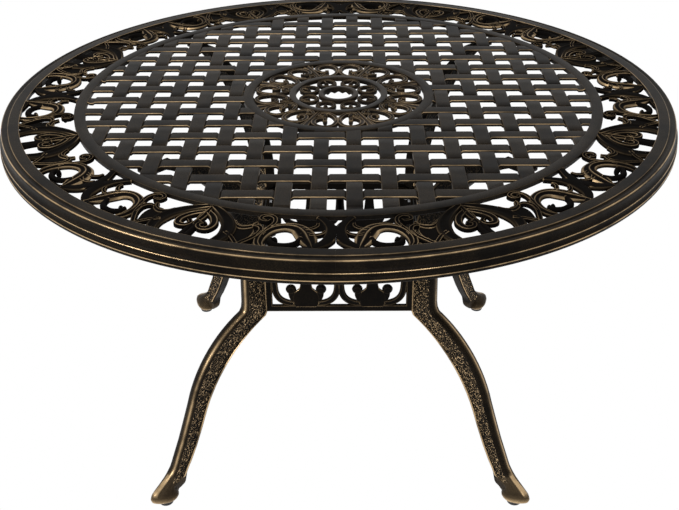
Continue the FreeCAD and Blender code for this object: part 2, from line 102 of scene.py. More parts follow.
def add_camera():
    """Camera with three turns: its heading, its tilt and a slight roll."""
    data = bpy.data.cameras.new("portrait_camera")
    data.lens, data.sensor_width = CAMERA_LENS, CAMERA_SENSOR
    camera = bpy.data.objects.new("portrait_camera", data)
    bpy.context.scene.collection.objects.link(camera)
    camera.matrix_world = (Matrix.Translation(CAMERA_PLACE) @ turning(CAMERA_HEADING)
                           @ turning(90 - CAMERA_DOWN, "X") @ turning(CAMERA_ROLL))
    bpy.context.scene.camera = camera
    print("camera at", tuple(round(c, 3) for c in camera.location))


add_camera()

# %% [markdown]
# ## Nodes in one line
#
# A material is a tree of nodes. Made one by one, each takes four or five lines of code,
# so a few small helpers add a node, fill its inputs and give back its output. An input
# takes either a plain value or the output of another node.

# %% Helpers for nodes
WHITE = (1, 1, 1, 1)
MIX_COLOURS, MIX_RESULT = (6, 7), 2  # the colour sockets of a Mix node


def feed(tree, socket, value):
    """Gives an input a plain value, or links another node's output to it."""
    if isinstance(value, bpy.types.NodeSocket):
        tree.links.new(value, socket)
    else:
        socket.default_value = value


def add_node(tree, kind, **values):
    """New node with its inputs filled; the input From Min is written From_Min."""
    made = tree.nodes.new(kind)
    for label, value in values.items():
        feed(tree, made.inputs[label.replace("_", " ")], value)
    return made


def math_node(tree, operation, first, second=None, clamp=False):
    """One operation on two values; clamp keeps what comes out between 0 and 1."""
    made = tree.nodes.new("ShaderNodeMath")
    made.operation, made.use_clamp = operation, clamp
    for socket, value in zip(made.inputs, (first, second)):
        if value is not None:
            feed(tree, socket, value)
    return made.outputs[0]


def times(tree, first, second, clamp=False):
    """Product of two values."""
    return math_node(tree, "MULTIPLY", first, second, clamp)


def plus(tree, first, second, clamp=False):
    """Sum of two values."""
    return math_node(tree, "ADD", first, second, clamp)


def noise_node(tree, place, scale, detail=3.0, roughness=0.5):
    """Cloudy noise between 0 and 1, mostly near 0.5."""
    return add_node(tree, "ShaderNodeTexNoise", Vector=place, Scale=scale, Detail=detail,
                    Roughness=roughness).outputs["Fac"]


def ramp_node(tree, factor, low, high):
    """Map Range from low..high to 0..1, smoothed."""
    made = tree.nodes.new("ShaderNodeMapRange")
    made.interpolation_type = "SMOOTHSTEP"
    for label, value in (("From Min", low), ("From Max", high), ("Value", factor)):
        feed(tree, made.inputs[label], value)
    return made.outputs["Result"]


def mix_colour(tree, factor, first, second):
    """The first colour where factor is 0, and the second where it is 1."""
    made = tree.nodes.new("ShaderNodeMix")
    made.data_type = "RGBA"
    feed(tree, made.inputs["Factor"], factor)
    for number, value in zip(MIX_COLOURS, (first, second)):
        feed(tree, made.inputs[number], value)
    return made.outputs[MIX_RESULT]


print("node helpers ready")

# %% [markdown]
# ## Floor and light
#
# The floor and the sky look pure white to the camera and in reflections, while for
# lighting the sky is only moderately bright. The Light Path node tells the two apart, so
# that the ground can be white without washing out the bronze. Soft lamps overhead and
# behind lay a sheen on the top, and one in front opens up the legs.

# %% White where it is seen
SKY_LIGHT = 0.16
FLOOR_RADIUS, FLOOR_GREY, FLOOR_ROUGHNESS = 9, 0.86, 0.9
LAMPS = [
    ("overhead_lamp", (-0.6, 0.2, 3.0), (0, -10, 0), 1.6, 26),
    ("rear_lamp", (0.0, 3.6, 2.9), (-58, 0, 0), 3.4, 8),
    ("left_lamp", (-2.6, -1.6, 1.7), (66, 0, -58), 1.2, 26),
    ("front_lamp", (0.9, -3.2, 2.2), (60, 0, 16), 1.6, 22),
]
LAMP_SHAPE = 0.5  # depth of a lamp as a share of its width


def white_to_camera(tree, plain, output, kind):
    """Mixes a pure white emission in for camera, glossy and transmission rays."""
    path = tree.nodes.new("ShaderNodeLightPath")
    seen = path.outputs["Is Camera Ray"]
    for ray in ("Is Glossy Ray", "Is Transmission Ray"):
        seen = math_node(tree, "MAXIMUM", seen, path.outputs[ray])
    white = add_node(tree, kind, Color=WHITE, Strength=1.0)
    mix = tree.nodes.new("ShaderNodeMixShader")
    for socket, value in zip(mix.inputs, (seen, plain, white.outputs[0])):
        feed(tree, socket, value)
    feed(tree, output, mix.outputs[0])


def add_sky():
    """World that lights the table moderately and looks white."""
    world = bpy.data.worlds.new("white_studio")
    world.use_nodes = True
    bpy.context.scene.world = world
    tree = world.node_tree
    dim = tree.nodes["Background"]
    feed(tree, dim.inputs["Color"], WHITE)
    feed(tree, dim.inputs["Strength"], SKY_LIGHT)
    output = tree.nodes["World Output"].inputs["Surface"]
    white_to_camera(tree, dim.outputs[0], output, "ShaderNodeBackground")


def add_lamps():
    """Soft area lamps; each is (name, place, turn in degrees, width, power)."""
    for name, place, turn, wide, power in LAMPS:
        data = bpy.data.lights.new(name, "AREA")
        data.shape = "RECTANGLE"
        data.size, data.size_y = wide, wide * LAMP_SHAPE
        data.energy = power
        lamp = bpy.data.objects.new(name, data)
        lamp.location = place
        lamp.rotation_euler = [math.radians(a) for a in turn]
        bpy.context.scene.collection.objects.link(lamp)


def add_floor():
    """Wide disc under the table, which belongs to the studio and not to the part."""
    bpy.ops.mesh.primitive_circle_add(vertices=64, radius=FLOOR_RADIUS, fill_type="NGON")
    floor = bpy.context.object
    floor.name = "studio_floor"
    material = bpy.data.materials.new("studio_floor")
    material.use_nodes = True
    tree = material.node_tree
    plain = tree.nodes["Principled BSDF"]
    plain.inputs["Base Color"].default_value = (FLOOR_GREY,) * 3 + (1,)
    plain.inputs["Roughness"].default_value = FLOOR_ROUGHNESS
    output = tree.nodes["Material Output"].inputs["Surface"]
    white_to_camera(tree, plain.outputs[0], output, "ShaderNodeEmission")
    floor.data.materials.append(material)


bpy.context.scene.view_settings.view_transform = "Standard"
add_sky()
add_lamps()
add_floor()
print("lamps:", len(LAMPS))

# %% [markdown]
# ## The antique bronze finish
#
# The castings are enamelled nearly black, then gold is wiped over what stands proud and
# mostly wiped off again, so that it stays on the crests. Two shared node groups hold what
# several materials need: the gold wipe, and the grain of cast metal that feeds the bump.
# The wipe follows an attribute named rub, which each mesh carries: 1 on a sharp outward
# edge and 0 on the flat. A mask painted by hand would look freer, but this one fits every
# piece by itself.

# %% The gold wipe
RUB = "rub"
GRAIN_SCALE, CLOUD_SCALE = 900.0, 14.0
CLOUD_RANGE, FINE_RANGE = (0.3, 0.62), (0.35, 0.75)
NARROW = 3.6  # the higher, the narrower the gold lines
BETWEEN_CLOUDS, CREST_GAIN = 0.25, 1.5


def new_group(name, inputs, outputs):
    """Node group with named sockets; each is (name, type, value)."""
    group = bpy.data.node_groups.new(name, "ShaderNodeTree")
    for way, sockets in (("INPUT", inputs), ("OUTPUT", outputs)):
        for label, kind, value in sockets:
            socket = group.interface.new_socket(name=label, in_out=way, socket_type=kind)
            if value is not None:
                socket.default_value = value
    return group, group.nodes.new("NodeGroupInput"), group.nodes.new("NodeGroupOutput")


def gold_wipe_group():
    """Mask of the gold: strong on crests, broken up by clouds, faint dust elsewhere."""
    group, inp, out = new_group(
        "gold_wipe",
        [("Amount", "NodeSocketFloat", 1.0), ("Dust", "NodeSocketFloat", 0.1)],
        [("Mask", "NodeSocketFloat", None)])
    place = group.nodes.new("ShaderNodeTexCoord").outputs["Object"]
    rub = group.nodes.new("ShaderNodeAttribute")
    rub.attribute_name = RUB
    clouds = noise_node(group, place, CLOUD_SCALE, detail=4.0, roughness=0.6)
    clouds = ramp_node(group, clouds, *CLOUD_RANGE)
    fine = noise_node(group, place, GRAIN_SCALE, detail=2.0)
    fine = ramp_node(group, fine, *FINE_RANGE)
    narrow = math_node(group, "POWER", rub.outputs["Fac"], NARROW)
    crest = times(group, narrow, inp.outputs["Amount"])
    broken = plus(group, times(group, clouds, 1 - BETWEEN_CLOUDS), BETWEEN_CLOUDS)
    crest = times(group, crest, times(group, broken, CREST_GAIN), clamp=True)
    dust = times(group, times(group, fine, clouds), inp.outputs["Dust"])
    feed(group, out.inputs["Mask"], plus(group, crest, dust, clamp=True))
    return group


WIPE = gold_wipe_group()
print("shared finish:", WIPE.name)

# %% The grain of cast metal
PEBBLE_SCALE, PEBBLE_VALLEY = 185.0, 0.06


def cast_grain_group():
    """Height of cast metal under enamel: fine orange peel and a pebbled ground."""
    group, inp, out = new_group(
        "cast_grain",
        [("Grain", "NodeSocketFloat", 0.3), ("Pebble", "NodeSocketFloat", 0.0),
         ("Pebble Scale", "NodeSocketFloat", PEBBLE_SCALE)],
        [("Height", "NodeSocketFloat", None), ("Pebbles", "NodeSocketFloat", None)])
    place = group.nodes.new("ShaderNodeTexCoord").outputs["Object"]
    fine = noise_node(group, place, GRAIN_SCALE, detail=4.0)
    swell = noise_node(group, place, inp.outputs["Pebble Scale"], detail=1.0, roughness=0.4)
    off = math_node(group, "ABSOLUTE", math_node(group, "SUBTRACT", swell, 0.5))
    worms = math_node(group, "SUBTRACT", 1.0, ramp_node(group, off, 0.0, PEBBLE_VALLEY))
    low = times(group, fine, inp.outputs["Grain"])
    high = times(group, worms, inp.outputs["Pebble"])
    feed(group, out.inputs["Height"], plus(group, low, high))
    feed(group, out.inputs["Pebbles"], worms)
    return group


GRAIN = cast_grain_group()
print("shared finish:", GRAIN.name)

# %% [markdown]
# Each finish is then a small recipe: a dark enamel and a gold colour, mixed by the wipe's
# mask, with the gold smoother and more metallic than the enamel. On the legs the gold and
# the worn brown fade out with height, as painted shade under the table's top.

# %% Bronze finishes
ENAMEL = (0.006, 0.0052, 0.0046, 1)
ENAMEL_WORN = (0.022, 0.014, 0.009, 1)
GOLD = (0.60, 0.42, 0.23, 1)
SHEEN = 0.03
ENAMEL_ROUGHNESS, GOLD_SMOOTHER = 0.40, 0.14
ENAMEL_METAL, GOLD_METAL = 0.05, 0.75
PATCH_SCALE, PATCH_RANGE = 22.0, (0.4, 0.75)
PEBBLE_GOLD, PEBBLE_RANGE = 0.9, (0.3, 0.8)
# Painted shade under the table's top: the height where it starts, over how far it deepens, and
# how much goes.
PAINTED_SHADE_FROM, PAINTED_SHADE_OVER, PAINTED_SHADE_MOST = 0.43, 0.12, 0.9  # metres up, metres, share that goes


def new_material(name, grain, bump, pebble=0.0):
    """Material with the cast grain as its bump: (it, tree, shader, place, grain node)."""
    material = bpy.data.materials.new(name)
    material.use_nodes = True
    tree = material.node_tree
    shader = tree.nodes["Principled BSDF"]
    place = tree.nodes.new("ShaderNodeTexCoord").outputs["Object"]
    cast = tree.nodes.new("ShaderNodeGroup")
    cast.node_tree = GRAIN
    cast.inputs["Grain"].default_value = grain
    cast.inputs["Pebble"].default_value = pebble
    relief = add_node(tree, "ShaderNodeBump", Distance=bump, Height=cast.outputs["Height"])
    feed(tree, shader.inputs["Normal"], relief.outputs["Normal"])
    return material, tree, shader, place, cast


def bronze(name, amount=1.0, dust=0.1, grain=0.3, pebble=0.0, worn=0.3, bump=0.00025,
           sheen=SHEEN, paint_shade_under_top=False):
    """Enamel with gold wiped over it; on the legs, gold and wear fade out as painted shade
    under the top.
    """
    material, tree, shader, place, cast = new_material(name, grain, bump, pebble)
    wipe = tree.nodes.new("ShaderNodeGroup")
    wipe.node_tree = WIPE
    wipe.inputs["Amount"].default_value = amount
    wipe.inputs["Dust"].default_value = dust
    mask = wipe.outputs["Mask"]
    if pebble:
        crest = ramp_node(tree, cast.outputs["Pebbles"], *PEBBLE_RANGE)
        mask = plus(tree, mask, times(tree, crest, PEBBLE_GOLD), clamp=True)
    patches = noise_node(tree, place, PATCH_SCALE, detail=5.0, roughness=0.6)
    patches = times(tree, ramp_node(tree, patches, *PATCH_RANGE), worn)
    # Painted shade: gold and worn patches fade out towards the table's top.
    if paint_shade_under_top:
        height = add_node(tree, "ShaderNodeSeparateXYZ", Vector=place).outputs["Z"]
        shade = ramp_node(tree, height, PAINTED_SHADE_FROM, PAINTED_SHADE_FROM + PAINTED_SHADE_OVER)
        keep = math_node(tree, "SUBTRACT", 1.0, times(tree, shade, PAINTED_SHADE_MOST))
        patches, mask = times(tree, patches, keep), times(tree, mask, keep)
    enamel = mix_colour(tree, patches, ENAMEL, ENAMEL_WORN)
    metal = plus(tree, times(tree, mask, GOLD_METAL), ENAMEL_METAL)
    rough = math_node(tree, "SUBTRACT", ENAMEL_ROUGHNESS, times(tree, mask, GOLD_SMOOTHER))
    shader.inputs["Specular IOR Level"].default_value = sheen
    feed(tree, shader.inputs["Base Color"], mix_colour(tree, mask, enamel, GOLD))
    feed(tree, shader.inputs["Metallic"], metal)
    feed(tree, shader.inputs["Roughness"], rough)
    return material


TOP_BRONZE = bronze("bronze_of_the_top", dust=0.05, worn=0.2)
WEAVE_BRONZE = bronze("bronze_of_the_weave", amount=0.5, dust=0.05, worn=0.2)
SCROLL_BRONZE = bronze("bronze_of_the_scrolls", amount=0.5, dust=0.0, worn=0.05, sheen=0.0)
APRON_BRONZE = bronze("bronze_of_the_aprons", amount=0.85, dust=0.02, worn=0.2)
MEDALLION_BRONZE = bronze("bronze_of_the_medallion", amount=0.4, dust=0.06, worn=0.8,
                          sheen=0.06)
# The legs carry painted shade under the table's top.
LEG_BRONZE = bronze("bronze_of_the_legs", amount=0.9, dust=0.06, worn=0.5, paint_shade_under_top=True)
PEBBLE_BRONZE = bronze("pebbled_bronze", dust=0.05, pebble=1.0, worn=0.2, bump=0.0012,
                       paint_shade_under_top=True)
PLAIN_BRONZE = bronze("bronze_of_the_brackets", amount=0.3, dust=0.05)
print("bronze finishes:", sum("bronze" in m.name for m in bpy.data.materials))

# %% [markdown]
# Bolts and screws are zinc plated and the glides are moulded plastic. One plain colour
# would do for parts this small, but it looks like wet paint, so the same grain breaks up
# their tone and feeds their bump.

# %% Zinc and plastic
TONE_SCALE, TONE_RANGE = 120.0, (0.3, 0.7)
TONE_DARK, TONE_ROUGHER = 0.7, 0.12


def simple(name, colour, metallic, roughness, grain=0.2, bump=0.0001):
    """Zinc plate or moulded plastic: one colour, with grain in its tone and bump."""
    material, tree, shader, place, _ = new_material(name, grain, bump)
    tone = ramp_node(tree, noise_node(tree, place, TONE_SCALE, detail=4.0), *TONE_RANGE)
    dull = tuple(c * TONE_DARK for c in colour[:3]) + (1,)
    shader.inputs["Metallic"].default_value = metallic
    feed(tree, shader.inputs["Base Color"], mix_colour(tree, tone, dull, colour))
    rough = plus(tree, times(tree, tone, TONE_ROUGHER), roughness)
    feed(tree, shader.inputs["Roughness"], rough)
    return material


ZINC = simple("zinc_plate", (0.55, 0.56, 0.58, 1), 1.0, 0.3)
GLIDE_PLASTIC = simple("black_plastic", (0.03, 0.03, 0.032, 1), 0.0, 0.5)
print("plain finishes:", ZINC.name, GLIDE_PLASTIC.name)

# %% [markdown]
# ## Helpers for meshes
#
# Every finished piece goes through the same last steps: doubles merged and normals
# checked, smooth shading with crisp edges, the rub attribute written, its material and
# its body set. Where no rub is drawn, it is the angle by which the faces at a
# vertex fold outwards, so that crests are found by themselves.

# %% Rub and shading
SMOOTH_ANGLE = math.radians(35)
RUB_FROM, RUB_TO = math.radians(24), math.radians(50)
DRAWN_RUB = "drawn_rub"
DRAWN_FLOOR = 0.001  # tells a rub of 0 that is drawn from none at all


def fresh_mesh():
    """Empty mesh under construction, with room for a drawn rub."""
    bm = bmesh.new()
    bm.verts.layers.float.new(DRAWN_RUB)
    return bm


def draw_rub(bm, vert, rub):
    """Sets the rub of one vertex, instead of leaving it to the folds around it."""
    vert[bm.verts.layers.float.get(DRAWN_RUB)] = max(rub, DRAWN_FLOOR)


def mark_rub(mesh):
    """Writes the rub attribute: as drawn where a mesh has it, else the sharpest fold."""
    bm = bmesh.new()
    bm.from_mesh(mesh)
    drawn = bm.verts.layers.float.get(DRAWN_RUB)
    values = []
    for vert in bm.verts:
        sharpest = max((e.calc_face_angle_signed(0) for e in vert.link_edges), default=0)
        share = (sharpest - RUB_FROM) / (RUB_TO - RUB_FROM)
        if drawn and vert[drawn] > 0:
            share = vert[drawn] - DRAWN_FLOOR
        values.append(min(max(share, 0), 1))
    bm.free()
    old = mesh.attributes.get(RUB)
    if old:
        mesh.attributes.remove(old)
    layer = mesh.attributes.new(RUB, "FLOAT", "POINT")
    layer.data.foreach_set("value", values)


def only(piece):
    """Selects one piece and nothing else."""
    bpy.ops.object.select_all(action="DESELECT")
    piece.select_set(True)
    bpy.context.view_layer.objects.active = piece


def dress(piece, material, body="table", stands_for=()):
    """Last step for a piece: shading, rub, finish and the body it rides on."""
    only(piece)
    bpy.ops.object.shade_smooth_by_angle(angle=SMOOTH_ANGLE)
    mark_rub(piece.data)
    if not piece.data.materials:
        piece.data.materials.append(material)
    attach(piece, body)
    if stands_for:
        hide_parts(*stands_for)
    return piece


print("smooth below", round(math.degrees(SMOOTH_ANGLE)), "degrees")

# %% From points to pieces
FINE_MERGE, RING_MERGE, SLAT_MERGE = 0.001 * MM, 0.02 * MM, 0.01 * MM


def skin(bm, rings, closed=False, caps=False):
    """Faces between neighbouring rings of points; a ring of one point ends in a fan."""
    faces = []
    for one, two in zip(rings, rings[1:] + rings[:1] if closed else rings[1:]):
        for k in range(max(len(one), len(two))):
            corners = (one[k % len(one)], one[(k + 1) % len(one)],
                       two[(k + 1) % len(two)], two[k % len(two)])
            faces.append(bm.faces.new(list(dict.fromkeys(corners))))
    if caps:
        bm.faces.new(rings[0][::-1])
        bm.faces.new(rings[-1])
    return faces


def edges_of(verts):
    """Every edge at the given points, once."""
    return list({edge for vert in verts for edge in vert.link_edges})


def round_edges(bm, edges, offset, segments=2):
    """Bevels edges by an offset in millimetres."""
    bmesh.ops.bevel(bm, geom=edges, offset=offset * MM, segments=segments,
                    affect="EDGES", profile=0.5)


def make_piece(bm, name, merge=FINE_MERGE, materials=()):
    """Piece made of a finished mesh: doubles merged, all faces pointed outwards."""
    mesh = bpy.data.meshes.new(name)
    bm.normal_update()
    bm.to_mesh(mesh)
    bm.free()
    piece = bpy.data.objects.new(name, mesh)
    bpy.context.scene.collection.objects.link(piece)
    for material in materials:
        mesh.materials.append(material)
    only(piece)
    bpy.ops.object.mode_set(mode="EDIT")
    bpy.ops.mesh.select_all(action="SELECT")
    bpy.ops.mesh.remove_doubles(threshold=merge)
    bpy.ops.mesh.normals_make_consistent(inside=False)
    bpy.ops.object.mode_set(mode="OBJECT")
    return piece


def turned_copy(piece, name, degrees):
    """Copy with its own mesh, turned about the table's upright axis."""
    copy = piece.copy()
    copy.data = piece.data.copy()
    copy.name = name
    copy.data.name = name
    copy.data.transform(turning(degrees))
    bpy.context.scene.collection.objects.link(copy)
    return copy


def turned_set(first, label, bearings, material, part):
    """Dresses a copy of a piece at each named bearing, then drops the first one."""
    for name, bearing in bearings.items():
        piece = turned_copy(first, f"{label}_{name}", bearing)
        dress(piece, material, stands_for=[f"{part}_{name}"])
    print(label, "faces, each:", len(first.data.polygons))
    bpy.data.objects.remove(first)


print("mesh helpers ready")

# %% [markdown]
# ## The rim
#
# The rim is turned work: one profile swept round the table. It is drawn as a chain of
# corners with the step, the bead and the grooves that catch the light in the photograph,
# and the spin tool takes it round each half. A bevel on a plain ring could round the edge
# but not give its steps. Two castings meet in a hair-thin seam in front and behind.

# %% Two spun halves
SPIN_STEPS = 120
SEAM = 0.003
RIM_PROFILE = [  # radius, drop, rub
    (574.0, -0.5, 0.8), (574.4, 0.0, 0.8), (575.2, 0.0, 0.0), (591.2, 0.0, 0.0),
    (592.0, -0.1, 0.7), (592.8, -0.6, 0.7), (593.4, -2.4, 0.0), (595.2, -3.0, 0.0),
    (597.2, -2.6, 0.0), (599.2, -1.4, 0.0), (601.2, -0.9, 0.2), (602.6, -1.3, 0.4),
    (603.8, -2.2, 1.0), (604.6, -3.6, 0.5), (605.0, -5.2, 0.1), (604.9, -6.6, 0.0),
    (604.4, -11.0, 0.0), (605.0, -15.0, 0.0), (606.6, -18.2, 0.0), (607.9, -19.1, 0.3),
    (608.7, -19.9, 1.0), (609.0, -20.9, 0.5), (608.7, -22.0, 0.0), (606.8, -23.6, 0.0),
    (606.0, -25.0, 0.0), (606.2, -27.6, 0.0), (607.4, -29.8, 0.0), (608.9, -30.6, 0.3),
    (609.8, -31.2, 0.95), (610.0, -32.0, 0.95), (609.9, -32.8, 0.0), (609.6, -36.2, 0.0),
    (608.6, -37.4, 0.0), (605.0, -37.4, 0.0), (603.6, -36.4, 0.0), (600.8, -12.0, 0.0),
    (599.8, -8.8, 0.0), (597.6, -8.0, 0.0), (574.6, -8.0, 0.0), (574.0, -7.4, 0.0),
    (574.0, -1.4, 0.0),
]


def spun_half(name, profile, start, sweep):
    """Closed profile of (radius, drop, rub) in millimetres, spun about the upright axis."""
    bm = fresh_mesh()
    verts = []
    for radius, drop, rub in profile:
        verts.append(bm.verts.new(polar(radius * MM, start, TOP + drop * MM)))
        draw_rub(bm, verts[-1], rub)
    face = bm.faces.new(verts)
    bmesh.ops.spin(bm, geom=[face] + list(face.edges) + list(face.verts), cent=(0, 0, 0),
                   axis=(0, 0, 1), angle=math.radians(sweep), steps=SPIN_STEPS,
                   use_duplicate=False)
    return make_piece(bm, name, RING_MERGE)


for rim_side, rim_start in (("right", -90), ("left", 90)):
    half_rim = spun_half(f"rim_casting_{rim_side}", RIM_PROFILE, rim_start + SEAM,
                         180 - 2 * SEAM)
    dress(half_rim, TOP_BRONZE, stands_for=[f"rim_{rim_side}"])
    print(half_rim.name, "faces:", len(half_rim.data.polygons))

# %% [markdown]
# ## Scroll bars
#
# Cast scrollwork is a bar that follows a line, swells and thins, and has a fluted or
# leafy top. A curve with a bevel object could do it, but its crest would thin out with
# its width. So one helper sweeps a cross-section along a smooth line through a few chosen
# points. A point is (x, y, width); the section is a row of (across, height) pairs, where
# across runs from -1 to 1 and height from 0 at the underside to 1 on the crest.

# %% Sections and smooth lines
FLAT = [(-1, 0), (-1, 0.72), (-0.86, 0.93), (-0.7, 0.98), (0.7, 0.98), (0.86, 0.93),
        (1, 0.72), (1, 0)]
FLUTED = [(-1, 0), (-1, 0.62), (-0.84, 0.9), (-0.62, 1.0), (-0.4, 0.9), (0, 0.72),
          (0.4, 0.9), (0.62, 1.0), (0.84, 0.9), (1, 0.62), (1, 0)]
LEAF = [(-1, 0), (-1, 0.45), (-0.8, 0.8), (-0.5, 0.72), (-0.22, 0.9), (0, 1.12),
        (0.22, 0.9), (0.5, 0.72), (0.8, 0.8), (1, 0.45), (1, 0)]
ROUND = [(-1, 0), (-1, 0.4), (-0.8, 0.75), (-0.45, 0.98), (0, 1.06), (0.45, 0.98),
         (0.8, 0.75), (1, 0.4), (1, 0)]
STEPS_PER_POINT = 5


def spline_value(p0, p1, p2, p3, t):
    """Catmull-Rom value between p1 and p2."""
    return 0.5 * (2 * p1 + (p2 - p0) * t + (2 * p0 - 5 * p1 + 4 * p2 - p3) * t * t
                  + (3 * p1 - p0 - 3 * p2 + p3) * t * t * t)


def smooth_run(points, closed=False, steps=STEPS_PER_POINT):
    """Points (x, y, width) on a smooth line through the given ones."""
    count = len(points)
    vectors = [Vector(p) for p in points]
    spans = count if closed else count - 1
    run = []
    for span in range(spans):
        if closed:
            four = [vectors[(span + k) % count] for k in (-1, 0, 1, 2)]
        else:
            four = [vectors[min(max(span + k, 0), count - 1)] for k in (-1, 0, 1, 2)]
        for step in range(steps):
            run.append(spline_value(*four, step / steps))
    if not closed:
        run.append(vectors[-1])
    return run


def polar_run(run):
    """Turns (bearing, radius in mm, width in mm) into metres on the table."""
    out = []
    for bearing, radius, width in run:
        spot = polar(radius * MM, bearing)
        out.append((spot.x, spot.y, width * MM))
    return out


def both_ways(run, axis):
    """The run and its mirror image about a bearing."""
    return [run, [(2 * axis - b, r, w) for b, r, w in run]]


print("points on a run of three:", len(smooth_run([(0, 0, 1), (1, 0, 1), (2, 1, 1)])))

# %% Bars and balls
LEAST_STEP = 1e-9  # below this a bar has no direction of its own


def sweep_bar(bm, points, section, base, thick, closed=False, steps=STEPS_PER_POINT):
    """Adds a bar along the run; all lengths in metres, its underside at height base."""
    run = smooth_run(points, closed, steps)
    count = len(run)
    rings = []
    for number, here in enumerate(run):
        before = run[number - 1] if number or closed else here
        after = run[(number + 1) % count] if number < count - 1 or closed else here
        along = Vector((after.x - before.x, after.y - before.y))
        along = along.normalized() if along.length > LEAST_STEP else Vector((1, 0))
        side = Vector((-along.y, along.x)) * (here.z / 2)
        rings.append([bm.verts.new((here.x + side.x * u, here.y + side.y * u,
                                    base + thick * h)) for u, h in section])
        for vert in (rings[-1][0], rings[-1][-1]):
            draw_rub(bm, vert, 0)
    skin(bm, rings, closed, caps=not closed)


def ball(bm, centre, radius, base, thick):
    """Flattened ball that ends a scroll."""
    made = bmesh.ops.create_uvsphere(bm, u_segments=14, v_segments=8, radius=radius)
    for vert in made["verts"]:
        vert.co.z *= thick / radius
        vert.co += Vector((centre[0], centre[1], base))


print("a bar has", len(FLAT), "to", max(len(FLUTED), len(LEAF)), "points in its section")

# %% [markdown]
# ## The border
#
# Eight equal castings fill the border. Each has a lotus in its middle, a leafy scroll on
# either side of it, and half of a back-to-back joint at each end. It could be carved from
# a pierced plate, but a founder's pattern is made of bars, and bars keep the swell and
# the crest of each line. The lines are given for one half, as (bearing from the joint,
# radius, width), and mirrored.

# %% Lines of the border
BORDER_BASE = PANEL_BASE
CREST_ROOM = 0.8 * MM
BORDER_THICK = TOP - BORDER_BASE - CREST_ROOM
HALF_UNIT = 22.5
JOINT_STEM = [(4.9, 577, 9), (3.3, 569, 13), (1.55, 553, 17), (0.55, 530, 20),
              (0.75, 510, 16), (1.7, 493, 12), (2.9, 479, 11)]
RIM_ARM = [(3.2, 571, 9), (5.6, 574, 8), (7.4, 578, 6)]
FINGER_OUT = [(5.2, 526, 9), (3.6, 532, 8), (2.2, 528, 7), (1.6, 520, 5)]
FINGER_IN = [(5.6, 516, 9), (4.1, 514, 8), (3.1, 506, 7), (3.0, 497, 5)]
SCROLL = [(10.4, 577, 10), (11.2, 562, 15), (11.2, 540, 18), (10.2, 520, 19),
          (8.2, 510, 20), (6.2, 513, 25), (4.9, 527, 30), (4.15, 545, 28),
          (3.6, 560, 18), (3.3, 572, 5)]
HOOK = [(5.3, 540, 8), (5.8, 554, 10), (7.0, 562, 11), (8.6, 562, 10), (9.7, 554, 9),
        (9.7, 545, 7)]
BUD = [(11.3, 540, 8), (10.7, 520, 8), (10.15, 503, 8), (10.5, 489, 8), (11.6, 483, 8),
       (12.7, 488, 8), (12.6, 497, 7), (11.6, 499, 6), (11.3, 494, 5)]
FAN_LONG = [(14.2, 577, 8), (13.1, 561, 9), (12.1, 545, 9), (11.7, 529, 9), (12.3, 518, 8),
            (13.4, 517, 6)]
FAN_SHORT = [(14.0, 576, 8), (15.4, 557, 8), (16.9, 545, 8)]
FAN_LEAF = [(13.0, 506, 6), (13.6, 517, 10), (14.9, 523, 12), (16.0, 519, 10),
            (16.9, 508, 6)]
PETAL = [(17.5, 578, 18), (16.8, 558, 21), (16.8, 538, 23), (17.6, 517, 22),
         (19.4, 498, 19), (21.3, 485, 14), (22.5, 480, 7)]
CURL = [(22.3, 497, 11), (20.5, 511, 13), (19.6, 529, 13), (20.0, 544, 12), (21.2, 545, 10),
        (21.8, 536, 8), (21.1, 528, 7)]
STAMEN = [(22.1, 579, 18), (22.1, 566, 12), (22.1, 550, 10), (22.3, 525, 9)]
HEART = [(22.5, 539, 4), (22.5, 524, 10), (22.5, 508, 13), (22.5, 494, 9), (22.5, 478, 3)]
FAN_FILL = [(14.2, 572, 4), (14.3, 558, 14), (14.4, 542, 26), (14.4, 526, 26),
            (14.5, 514, 10)]
BORDER_BARS = [  # line, section, share of the full thickness
    (JOINT_STEM, FLAT, 1.0), (RIM_ARM, FLAT, 0.96), (FINGER_OUT, FLUTED, 0.84),
    (FINGER_IN, FLUTED, 0.8), (SCROLL, LEAF, 0.95), (HOOK, ROUND, 0.9),
    (BUD, FLUTED, 0.92), (FAN_LONG, FLUTED, 0.95), (FAN_SHORT, FLUTED, 0.93),
    (FAN_LEAF, LEAF, 0.8), (PETAL, FLUTED, 1.0), (CURL, FLUTED, 0.9),
    (STAMEN, ROUND, 0.82), (FAN_FILL, FLAT, 0.45)]
BORDER_BALLS = [(9.1, 548, 4.5), (21.2, 529, 5), (11.5, 496, 4.5)]
BALL_TALL = 1.05
print("lines in half a border casting:", len(BORDER_BARS))

# %% Eight border castings
JOINT_GAP = 0.01  # degrees between a casting's end and its neighbour's


def trim_ends(bm):
    """Pushes whatever crosses the joint at either end of a unit back onto its plane."""
    for bearing, way in ((JOINT_GAP, 1), (2 * HALF_UNIT - JOINT_GAP, -1)):
        outward = polar(way, bearing - 90)
        for vert in bm.verts:
            beyond = vert.co.dot(outward)
            if beyond > 0:
                vert.co -= outward * beyond
                draw_rub(bm, vert, 0)


def border_unit():
    """One casting, from the joint at bearing 0 to the next at 45 degrees."""
    bm = fresh_mesh()
    for line, section, tall in BORDER_BARS:
        for run in both_ways(line, HALF_UNIT):
            sweep_bar(bm, polar_run(run), section, BORDER_BASE, BORDER_THICK * tall)
    sweep_bar(bm, polar_run(HEART), LEAF, BORDER_BASE, BORDER_THICK)
    for bearing, radius, size in BORDER_BALLS:
        for b in (bearing, 2 * HALF_UNIT - bearing):
            ball(bm, polar(radius * MM, b), size * MM, BORDER_BASE,
                 BORDER_THICK * BALL_TALL)
    trim_ends(bm)
    return make_piece(bm, "border_unit")


turned_set(border_unit(), "border_casting", {n + 1: 45 * n for n in range(8)},
           SCROLL_BRONZE, "border_scroll")

